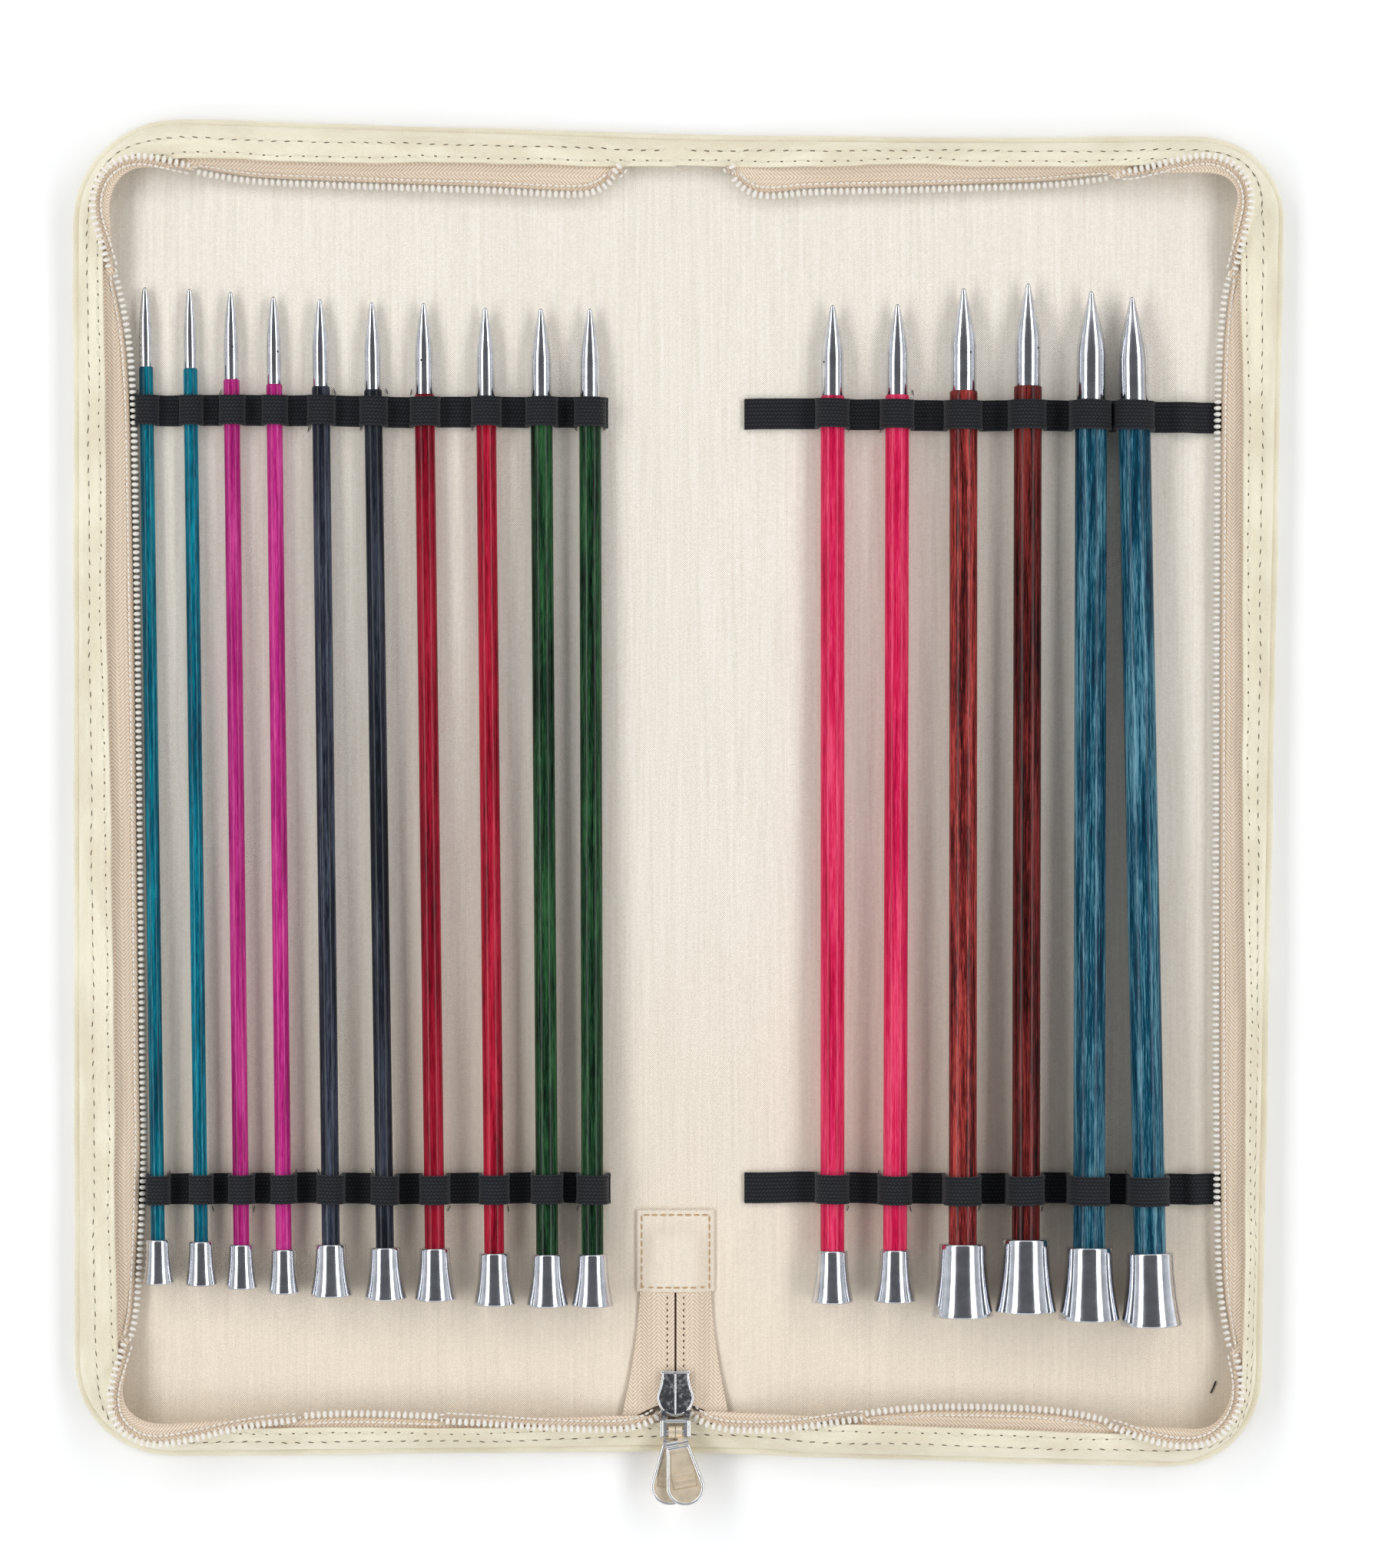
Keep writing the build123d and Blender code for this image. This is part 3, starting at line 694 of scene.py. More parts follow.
def nylon(name, tint):
    """Translucent nylon coil."""
    f = Finish(name, Roughness=0.38, Subsurface_Weight=0.12, Coat_Weight=0.15)
    at = f.place()
    fuzz = f.noise(at, (0.9, 0.9, 0.9), 3.0, 0.6)
    f.set(Base_Color=f.mix(fuzz, scaled(tint, 0.80), scaled(tint, 1.18)), Roughness=0.28 + fuzz * 0.25)
    return f.material


def thread(name, tint):
    """Sewing thread: two plies seen as a fine slant, a little fuzzy."""
    f = Finish(name, Roughness=0.8, Sheen_Weight=0.2)
    at = f.place()
    x, y, z = f.parts(at)
    ply = ((x + y + z) * 2.2).sin() * 0.5 + 0.5
    fuzz = f.noise(at, (3, 3, 3), 2.0)
    tone = ply * 0.6 + fuzz * 0.4
    f.set(Base_Color=f.mix(tone, scaled(tint, 0.72), tint), Normal=f.bump(ply, 0.08, 0.6))
    return f.material


def braid(name, tint):
    """Braided elastic: cords along the band, crossed by slanting stitches that make small Vs."""
    f = Finish(name, Roughness=0.7, Sheen_Weight=0.12, Sheen_Roughness=0.45, Specular_IOR_Level=0.22)
    at = f.cloth()
    u, v, _ = f.parts(at)
    cord = (v * 1.0).sin() * 0.5 + 0.5
    slant = (u * 1.15 + (v * 0.5).zigzag() * 1.0).sin() * 0.5 + 0.5
    fuzz = f.noise(at, (1.6, 1.6, 1), 3.0, 0.6)
    light = tuple(c * 6.0 + 0.012 for c in tint)
    f.set(
        Base_Color=f.mix(cord * slant * 0.8 + fuzz * 0.2, tint, light),
        Roughness=0.82 - cord * slant * 0.25,
        Normal=f.bump(cord * 0.7 + slant * 0.6 + fuzz * 0.3, 0.22, 0.85),
    )
    return f.material


# Each wood: the dark of its streaks, its body colour, its light streaks, and how strong they are
TONES = {
    "teal": ((0.000, 0.030, 0.052), (0.000, 0.100, 0.155), (0.004, 0.270, 0.360), 1.0),
    "fuchsia": ((0.180, 0.004, 0.070), (0.360, 0.012, 0.155), (0.600, 0.060, 0.290), 0.8),
    "ink": ((0.004, 0.005, 0.009), (0.014, 0.017, 0.028), (0.075, 0.090, 0.130), 0.8),
    "crimson": ((0.085, 0.001, 0.006), (0.300, 0.004, 0.020), (0.520, 0.020, 0.050), 0.9),
    "green": ((0.002, 0.004, 0.003), (0.008, 0.042, 0.016), (0.040, 0.150, 0.050), 1.2),
    "pink_red": ((0.330, 0.003, 0.028), (0.600, 0.010, 0.075), (0.820, 0.075, 0.170), 0.8),
    "mahogany": ((0.008, 0.002, 0.002), (0.075, 0.007, 0.007), (0.260, 0.035, 0.030), 1.2),
    "petrol": ((0.002, 0.016, 0.034), (0.003, 0.060, 0.105), (0.120, 0.300, 0.380), 1.0),
}


# Needles whose dye came out darker or lighter than the others of its colour
SHADES = {
    "needle_3_5mm_a": 0.85, "needle_4_0mm_b": 1.12, "needle_4_5mm_b": 0.6, "needle_5_0mm_a": 0.78,
    "needle_5_5mm_a": 0.72, "needle_5_5mm_b": 0.72, "needle_7_0mm_a": 1.9, "needle_7_0mm_b": 0.8,
    "needle_8_0mm_a": 0.95,
}


def lacquered(name, wood, shade, turn, gloss):
    """Dyed laminated birch under lacquer: long fine streaks, broken pores and slow bands."""
    dark, body, light, contrast = TONES[wood]
    dark, body, light = (scaled(tone, shade) for tone in (dark, body, light))
    f = Finish(name, Roughness=0.32, Coat_Roughness=0.07, Coat_IOR=1.5, Specular_IOR_Level=0.06,
               Coat_Weight=gloss)
    at = f.node("ShaderNodeVectorMath", {"operation": "ADD"}, {0: f.cloth(), 1: (turn, turn * 7, turn)})
    streak = f.noise(at, (2.1, 0.050, 1), 4.0, 0.62)
    pore = f.noise(at, (4.2, 0.26, 1), 2.0, 0.6)
    band = f.noise(at, (0.35, 0.016, 1), 2.0, 0.5)
    tone = (streak - 0.5) * (1.5 * contrast) + (pore - 0.5) * (0.9 * contrast) + (band - 0.5) * 1.1 + 0.5
    base = f.node("ShaderNodeValToRGB", {"stops": [(0.16, dark), (0.84, light), (0.47, body)]}, {0: tone})
    f.set(
        Base_Color=base,
        Roughness=0.26 + pore * 0.2,
        Normal=f.bump(streak * 0.6 + pore, 0.035, 0.35),
    )
    return f.material


def plated(name, tint, rough, solid=1.0):
    """Plated metal: faint cloudiness and fine scratches in the polish."""
    f = Finish(name, Metallic=solid, Roughness=rough)
    at = f.place()
    cloud = f.noise(at, (0.25, 0.25, 0.25), 4.0, 0.6)
    scratch = f.noise(at, (0.5, 7.0, 0.5), 2.0, 0.6)
    dark = scaled(tint, 0.80)
    f.set(
        Base_Color=f.mix(cloud.step(0.3, 0.7), dark, tint),
        Roughness=rough * 0.7 + cloud * rough * 0.6,
        Normal=f.bump(scratch * 0.12, 0.05, 0.35),
    )
    return f.material


def slider_metal(name):
    """The slider: a dark face with small dents and worn spots, and a brighter frame round the bar."""
    f = Finish(name, Metallic=0.9, Roughness=0.24)
    at = f.place()
    _, y, _ = f.parts(at)
    dents = {"Vector": at, "Scale": 1.15, "Smoothness": 0.8}
    cell = f.node("ShaderNodeTexVoronoi", {"feature": "SMOOTH_F1"}, dents)
    glint_spots = f.noise(at, (0.9, 0.9, 0.9), 4.0, 0.65)
    # Painted highlight: bright patches in the dark face stand for the glints of the hammered dents.
    face = f.mix(glint_spots.step(0.45, 0.68), (0.20, 0.20, 0.22), (0.78, 0.78, 0.80))
    f.set(
        Base_Color=f.mix(y.step(-155.9, -155.3), (0.80, 0.80, 0.82), face),
        Roughness=0.16 + glint_spots * 0.2,
        Normal=f.bump(cell + glint_spots * 0.5, 0.12, 0.5),
    )
    return f.material


def hole_black(name):
    """The dark inside of a hole or a slit."""
    f = Finish(name, Roughness=0.9)
    fuzz = f.noise(f.place(), (2, 2, 2))
    f.set(Base_Color=f.mix(fuzz, (0.012, 0.010, 0.008), (0.05, 0.04, 0.03)))
    return f.material


def finish(name, make, *words):
    """The material of that name, made the first time it is asked for."""
    return bpy.data.materials.get(name) or make(name, *words)


# ---- the outline of one half ----


class Edge:
    """The outer edge of one half as points a millimetre apart, from the middle of the spine at the
    points' end, out round the two corners and back to the middle at the stoppers' end.
    at is the plan point, inward the unit vector into the half, s the distance along, and side, top
    and bottom say how much of the inward direction belongs to each edge."""

    def __init__(self, side, sizes):
        sign, left = SIDES[side], SIDES[side] < 0
        if left:
            outer = lambda y: 151.3 + 0.0014 * y
            top = lambda x: 166.6 + 0.030 * x
            bottom = lambda x: -164.7 - 0.0105 * x
        else:
            outer = lambda y: 150.2 + 0.0190 * y
            top = lambda x: 166.6 - 0.020 * x + 0.00012 * x * x
            bottom = lambda x: -165.0 - 0.0265 * x - 0.4 * smooth(x, 26.0, 29.0)
        r_high, r_low = (sizes.corner * k for k in ((1.08, 1.0) if left else (0.88, 0.92)))
        turn = np.linspace(0, TURN / 4, 40)[1:-1]
        high, low = outer(160) - r_high, outer(-160) - r_low
        start, end = top(high) - r_high, bottom(low) + r_low
        line = lambda a, b, n, x, y: np.stack([f(np.linspace(a, b, n)) for f in (x, y)], -1)
        same = lambda value: value
        rows = [
            line(0, high, 60, same, top),
            np.stack([high + r_high * np.sin(turn), start + r_high * np.cos(turn)], -1),
            line(start, end, 90, outer, same),
            np.stack([low + r_low * np.cos(turn), end - r_low * np.sin(turn)], -1),
            line(low, 0, 60, same, bottom),
        ]
        p = softened(respaced(np.concatenate(rows), 1.0), 9)
        t = directions(p)
        inward = np.stack([t[:, 1], -t[:, 0]], -1)
        inward[:, 0] *= smooth(p[:, 0], 0, 8)
        inward /= np.linalg.norm(inward, axis=1, keepdims=True)
        self.sign, self.s = sign, run_length(p)
        self.side, self.top = inward[:, 0] ** 2, np.clip(-inward[:, 1], 0, 1) ** 2
        self.bottom = np.clip(inward[:, 1], 0, 1) ** 2
        self.at, self.inward = p * (sign, 1), inward * (sign, 1)
        self.from_spine = np.abs(self.at[:, 0])

    def shifted(self, inset):
        """The outline drawn in by inset, which may be one value or one for each point."""
        return self.at + self.inward * np.broadcast_to(inset, len(self.at))[:, None]


def wall_width(edge, sizes):
    """The wall's inner edge, measured in from the outer edge."""
    left, y = edge.sign < 0, edge.at[:, 1]
    side = sizes.wall_left - 0.0125 * y if left else np.maximum(sizes.wall_right + 0.0227 * y, 5.5)
    top = sizes.wall_top + (0.022 * edge.from_spine if left else -0.3)
    width = edge.side * side + edge.top * top + edge.bottom * (sizes.wall_bottom + 0.8 * edge.sign)
    width *= 1 - 0.24 * 4 * edge.side * (edge.top + edge.bottom)
    live = smooth(edge.from_spine, 2, 26)
    wave = ripple(edge.s, 11 + edge.sign, 0.22, 150)
    return width + live * (wave + edge.top * ripple(edge.s, 5, 0.2, 60))


def wall_height(edge, sizes):
    """The wall's top: low where it crosses the spine, full height beyond the fold."""
    rise = smooth(edge.from_spine, 11, 40)
    top = sizes.spine_height + (sizes.wall_height - sizes.spine_height) * rise
    return top + rise * ripple(edge.s, 23 + edge.sign, 0.22, 120)


# The wall's section, from its seam up over to the inner edge and back underneath: each pair is a
# share of the width and a share of the height
WALL_SECTION = [
    (0.00, 0.00), (-0.05, 0.20), (0.00, 0.43), (0.15, 0.64), (0.36, 0.80), (0.60, 0.91),
    (0.82, 0.975), (0.95, 1.0), (1.00, 0.975), (1.005, 0.92), (0.96, 0.86), (0.80, 0.84),
    (0.58, 0.79), (0.38, 0.69), (0.22, 0.52), (0.13, 0.32), (0.12, 0.10), (0.12, 0.00),
]


def panel_grid(edge, inset, lift):
    """A grid over one half's plan, and its height from lift(x, y): columns run from the top
    outline to the bottom one, closer together at the fold and round the corners."""
    p = edge.shifted(inset)
    upright = np.nonzero(edge.side > 0.999)[0]
    top, bottom = p[: upright[0] + 1], p[upright[-1]:][::-1]
    share = [np.linspace(0, 0.20, 26), np.linspace(0.20, 0.80, 24)[1:], np.linspace(0.80, 1, 26)[1:]]
    share = np.concatenate(share)
    a, b = (along_path(share * (len(p) - 1), np.arange(len(p)), p)[0] for p in (top, bottom))
    t = np.linspace(0, 1, 110)[:, None, None]
    plan = a * (1 - t) + b * t
    x, y = plan[..., 0], plan[..., 1]
    return np.stack([x, y, lift(x, y)], -1), x, y


def lining_height(x, y):
    """The lining's top: lower along the spine, with a slow waviness far below the needles."""
    rise = smooth(np.abs(x), 7, 17.0)
    wave = 0.05 * np.sin(x / 9 + np.sin(y / 37)) * np.sin(y / 21 + x / 60)
    wave += 0.03 * np.sin(y / 7 + x / 5)
    return 2.2 + (PANEL_TOP - 2.2) * rise + wave * smooth(np.abs(x), 0, 6)


# ---- the case's cloth ----


def cover_of(side, sizes, colours):
    """The outer cover of one half: a flat sheet on the table and a soft turned edge along the
    outline, whose section is a rounded bar."""
    edge = Edge(side, sizes)
    grid, x, y = panel_grid(edge, 1.2, lambda x, y: 0.75 + 0 * x)
    under = grid.copy()
    under[..., 2] = 0.0
    section = curve([(3.2, 0.0), (1.4, 0.0), (0.3, 0.35), (-0.1, 1.5), (0.25, 2.65), (1.1, 3.15),
                     (2.1, 2.95), (3.2, 2.6)], 24, True)
    live = np.stack([ripple(edge.s, 31 + edge.sign, 0.10, 70), ripple(edge.s, 37, 0.05, 50)], -1)
    section = section[None] + (live * smooth(edge.from_spine, 2, 20)[:, None])[:, None] * (1, 0.0)
    centres, across = flat_on(edge.at), flat_on(edge.inward)
    made = piece(
        f"cover_cloth_{side}",
        [slab(grid, under, x, y), swept(centres, across, upright(across), section)],
        finish("outer_twill_cloth", twill, colours),
        "outer_twill",
    )
    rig.replaces(made, f"cover_{side}", *(["spine_cover"] if side == "left" else []))
    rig.sheet(made, flat=(0.158, 0.345), held="stretched", rests_on=[f"cover_{side}"])
    folds_with(made, side)


def lining_of(side, sizes, colours):
    """The lining of one half: a grid over its plan that dips a little along the spine."""
    edge = Edge(side, sizes)
    grid, x, y = panel_grid(edge, 2.6, lining_height)
    under = grid - (0, 0, 0.55)
    made = piece(f"lining_cloth_{side}", [slab(grid, under, x, y)],
                 finish("lining_satin_cloth", satin, colours), "lining_satin")
    middle = ["spine_lining"] if side == "left" else []
    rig.replaces(made, f"lining_{side}", f"board_{side}", *middle)
    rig.sheet(made, flat=(0.150, 0.330), held="stretched", rests_on=[f"cover_{side}"])
    folds_with(made, side)
    if side == "right":
        s = np.linspace(-1, 1, 13)
        line = np.column_stack([135.1 + 0.65 * s, -148.6 + 1.5 * s + 0.1 * s**2, PANEL_TOP + 0.25 + 0 * s])
        across = np.column_stack([-directions(line)[:, 1], directions(line)[:, 0], 0 * s])
        loose = piece("lining_loose_thread", [swept(line, across, upright(across), circle(6, 0.2))],
                      finish("black_thread", thread, BLACK_THREAD), "lining_satin")
        folds_with(loose, side)


def wall_of(side, sizes, colours):
    """The leaning wall of one half, its section carried round the outline, with two rows of running
    stitches. On the right it ends under a lapped layer near the spine."""
    edge = Edge(side, sizes)
    w, h = wall_width(edge, sizes), wall_height(edge, sizes)
    section = curve(WALL_SECTION, 52, True)
    outside = np.arange(52) < 27
    base = 2.85
    a = sizes.lip + section[None, :, 0] * (w - sizes.lip)[:, None]
    b = base + section[None, :, 1] * (h - base)[:, None]
    lap = edge.bottom * smooth(edge.from_spine, 27.6, 28.6) * (1 - smooth(edge.from_spine, 60, 110))
    lap = lap * (side == "right")
    fold = edge.bottom + edge.top
    crease = 0.16 * np.sin(edge.s / 3.1 + ripple(edge.s, 3, 1.0, 30)) * smooth(edge.from_spine, 4, 30)
    b += (0.6 * lap[:, None] + 0.4 * (crease * fold)[:, None]) * outside
    a += 0.25 * lap[:, None] * outside * (section[None, :, 0] > 0.9)
    centres, across = flat_on(edge.at), flat_on(edge.inward)
    made = piece(f"wall_cloth_{side}", [swept(centres, across, upright(across), np.stack([a, b], -1))],
                 finish("outer_twill_cloth", twill, colours), "outer_twill")
    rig.replaces(made, f"wall_{side}", *(["spine_end_bands"] if side == "left" else []))
    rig.sheet(made, flat=(0.0120, 0.590), held="stretched", rests_on=[f"cover_{side}"])
    folds_with(made, side)

    def on_wall(s, inset):
        """Points on the wall's outer skin at distances s along it and inset from the edge."""
        at, n = along_path(s, edge.s, edge.at, edge.inward)
        ww, hh = np.interp(s, edge.s, w), np.interp(s, edge.s, h)
        share = (inset - sizes.lip) / (ww - sizes.lip)
        outer = np.array(WALL_SECTION[2:9])
        z = base + np.interp(share, outer[:, 0], outer[:, 1]) * (hh - base)
        z = z + 0.6 * np.interp(s, edge.s, lap) + 0.4 * np.interp(s, edge.s, crease * fold)
        return np.column_stack([at + n * np.reshape(inset, (-1, 1)), z])

    grains, holes = [], []
    for row, (line, bite) in enumerate(((w - 1.35, 0.8), (w * 0.5 + 0.2, 1.5))):
        s = np.arange(2.0 + row, edge.s[-1] - 2, sizes.stitch_pitch)
        inset = np.interp(s, edge.s, line) + ripple(s, 41 + row, 0.10, 50)
        middle = on_wall(s, inset)
        ahead = on_wall(s + 0.6, np.interp(s + 0.6, edge.s, line))
        inner = on_wall(s, inset + 0.3)
        along, over = ahead - middle, inner - middle
        along /= np.linalg.norm(along, axis=1, keepdims=True)
        over /= np.linalg.norm(over, axis=1, keepdims=True)
        up_here = np.cross(along, over)
        up_here *= np.sign(up_here[:, 2:])
        grains.append(capsules(middle + up_here * 0.05, along, up_here, sizes.stitch, 0.42, 0.34))
        # Painted shade: flat dark dashes in the gaps between stitches, where the thread sinks into the cloth.
        gaps = middle + along * sizes.stitch_pitch / 2 + up_here * 0.02
        holes.append(capsules(gaps, along, up_here, bite, 0.36, 0.12))
    sewn = piece(f"wall_stitches_{side}", grains,
                 finish("cream_thread", thread, colours.twill), "outer_twill")
    folds_with(sewn, side)
    gap_shade = piece(f"wall_needle_holes_{side}", holes,
                   finish("stitch_hole", thread, (0.19, 0.14, 0.09)), "outer_twill")
    folds_with(gap_shade, side)


# ---- the zip ----

# Where each coil lies in plan, from its end beside the spine at the points' end, round the half
# and back to the slider; x is the distance from the spine's middle
COIL_PATH = {
    "left": [
        (13.4, 158.6), (17.0, 154.6), (23.5, 151.9), (45.9, 152.9), (67.6, 153.6), (89.0, 154.4),
        (105.4, 155.2), (116.4, 156.8), (127.0, 159.2), (134.7, 160.6), (141.3, 158.9), (145.3, 153.6),
        (146.0, 146.9), (143.4, 138.2), (140.2, 126.4), (138.0, 114.5), (136.9, 99.2), (136.4, 77.6),
        (135.6, 30.0), (134.9, -30.0), (134.5, -70.0), (134.3, -92.9), (136.0, -127.6), (139.0, -140.5),
        (141.6, -150.0), (140.2, -157.6), (133.0, -162.4), (121.8, -161.2), (111.0, -158.6),
        (100.0, -156.9), (83.0, -155.8), (62.0, -156.4), (45.9, -157.3), (29.7, -158.4), (14.5, -158.6),
        (7.4, -157.2), (3.6, -154.6), (2.3, -152.6),
    ],
    "right": [
        (13.4, 158.6), (15.8, 154.4), (21.8, 151.4), (33.6, 152.5), (53.3, 152.9), (73.0, 153.5),
        (92.7, 154.2), (107.5, 155.8), (117.4, 157.3), (127.2, 159.8), (135.1, 160.6), (141.7, 157.3),
        (144.4, 150.6), (142.9, 142.7), (140.5, 133.8), (138.4, 123.9), (137.1, 106.2), (136.7, 76.6),
        (136.4, 0.0), (136.4, -65.3), (136.6, -90.0), (137.1, -119.5), (139.0, -134.4), (141.7, -147.1),
        (140.7, -155.0), (135.1, -161.5), (127.2, -163.0), (117.4, -160.8), (107.5, -157.3),
        (97.7, -155.4), (87.8, -154.5), (73.0, -154.1), (58.3, -154.5), (43.4, -156.4), (28.6, -158.5),
        (16.8, -158.9), (9.0, -157.8), (4.2, -155.0), (2.3, -152.6),
    ],
}


def across_surface(grid):
    """Unit normals of a grid from the cross product of its two directions, turned upwards."""
    n = np.cross(np.gradient(grid, axis=0), np.gradient(grid, axis=1))
    n /= np.maximum(np.linalg.norm(n, axis=2, keepdims=True), 1e-9)
    return n * np.sign(n[..., 2:] + 1e-9)


def zip_of(side, sizes, colours):
    """The zip tape and coil of one half. The tape leaves from under the wall's inner edge and curls
    along a quadratic curve to the coil, which rides up over the wall at the corners."""
    edge = Edge(side, sizes)
    w, h = wall_width(edge, sizes), wall_height(edge, sizes)
    plan = respaced(curve(COIL_PATH[side], 900), 0.8) * (edge.sign, 1)
    gap = np.linalg.norm(plan[:, None] - edge.at[None], axis=2)
    k = softened(gap.argmin(1).astype(float)[:, None], 21)[:, 0]
    k = np.maximum.accumulate(np.clip(k, 0, len(edge.s) - 1))
    pick = lambda values: np.interp(k, np.arange(len(edge.s)), values)
    at, inward = along_path(k, np.arange(len(edge.s)), edge.at, edge.inward)
    wk, hk = pick(w), pick(h)
    far = gap.min(1)
    ride = 1 - smooth(far, wk - 1.5, wk + 3.6)
    z = (1 - ride) * 5.7 + ride * (hk + 1.3)
    z += pick(edge.bottom) * 1.3 * smooth(np.abs(plan[:, 0]), 16, 60)
    s = run_length(plan)
    mouth = 1 - smooth(s[-1] - s, 0.5, 7)
    z = z * (1 - mouth) + 4.35 * mouth
    plan = EYE[:2] + (plan - EYE[:2]) * (1 - (z - PANEL_TOP) / EYE[2])[:, None]
    coil = softened(np.column_stack([plan, z]), 9)
    root = np.column_stack([at + inward * (wk - 1.6)[:, None], 2.9 + (hk - 2.9) * 0.80 - 0.35])
    lift = np.maximum(wk + 1.0 + 3.6 * ride, (wk + far) / 2 * (1 - ride))
    bend = np.column_stack([at + inward * lift[:, None], (root[:, 2] + z) / 2 + 0.6 * (1 - ride)])
    root, bend = softened(root, 9), softened(bend, 9)
    along = directions(coil)
    out = coil - bend
    out -= along * (out * along).sum(1, keepdims=True)
    out /= np.linalg.norm(out, axis=1, keepdims=True)
    up = np.cross(along, out)
    up *= np.sign(up[:, 2:] + 1e-9)
    hem = coil - out * 0.2 - up * 0.80
    t = np.linspace(0, 1, 14)[None, :, None]
    grid = root[:, None] * (1 - t) ** 2 + 2 * bend[:, None] * t * (1 - t) + hem[:, None] * t**2
    wave = ripple(s, 53 + edge.sign, 0.22, 60)[:, None] * np.sin(t[..., 0] * math.pi)
    grid[..., 2] += wave * (1 - mouth[:, None])
    normal = across_surface(grid)
    steps = np.linalg.norm(np.diff(grid, axis=1), axis=2)
    v = np.concatenate([np.zeros((len(s), 1)), steps.cumsum(1)], 1)
    u = np.broadcast_to(s[:, None], v.shape)
    tape = piece(f"zip_tape_cloth_{side}", [slab(grid + normal * 0.22, grid - normal * 0.22, u, v)],
                 finish("herringbone_tape", herringbone, colours), "zip_tape")
    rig.replaces(tape, f"zip_tape_{side}")
    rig.sheet(tape, flat=(0.0100, 0.585), area=0.0044, held="stretched", rests_on=[f"wall_{side}"])
    folds_with(tape, side)
    stops = np.arange(0.6, s[-1], sizes.bead_pitch)
    middle, across, above, run = along_path(stops, s, coil, out, up, along)
    beads = capsules(middle + across * 0.55 + above * 0.3, across, above, 1.9, sizes.bead, 1.5)
    loops = capsules(middle - across * 1.55 - above * 0.05, run, above, 1.2, 0.55, 0.5)
    made = piece(f"zip_coil_beads_{side}", [beads, loops],
                 finish("nylon_coil", nylon, colours.coil), "zip_coil")
    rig.replaces(made, f"zip_coil_{side}", *(["zip_throat_coils"] if side == "left" else []))
    folds_with(made, side)


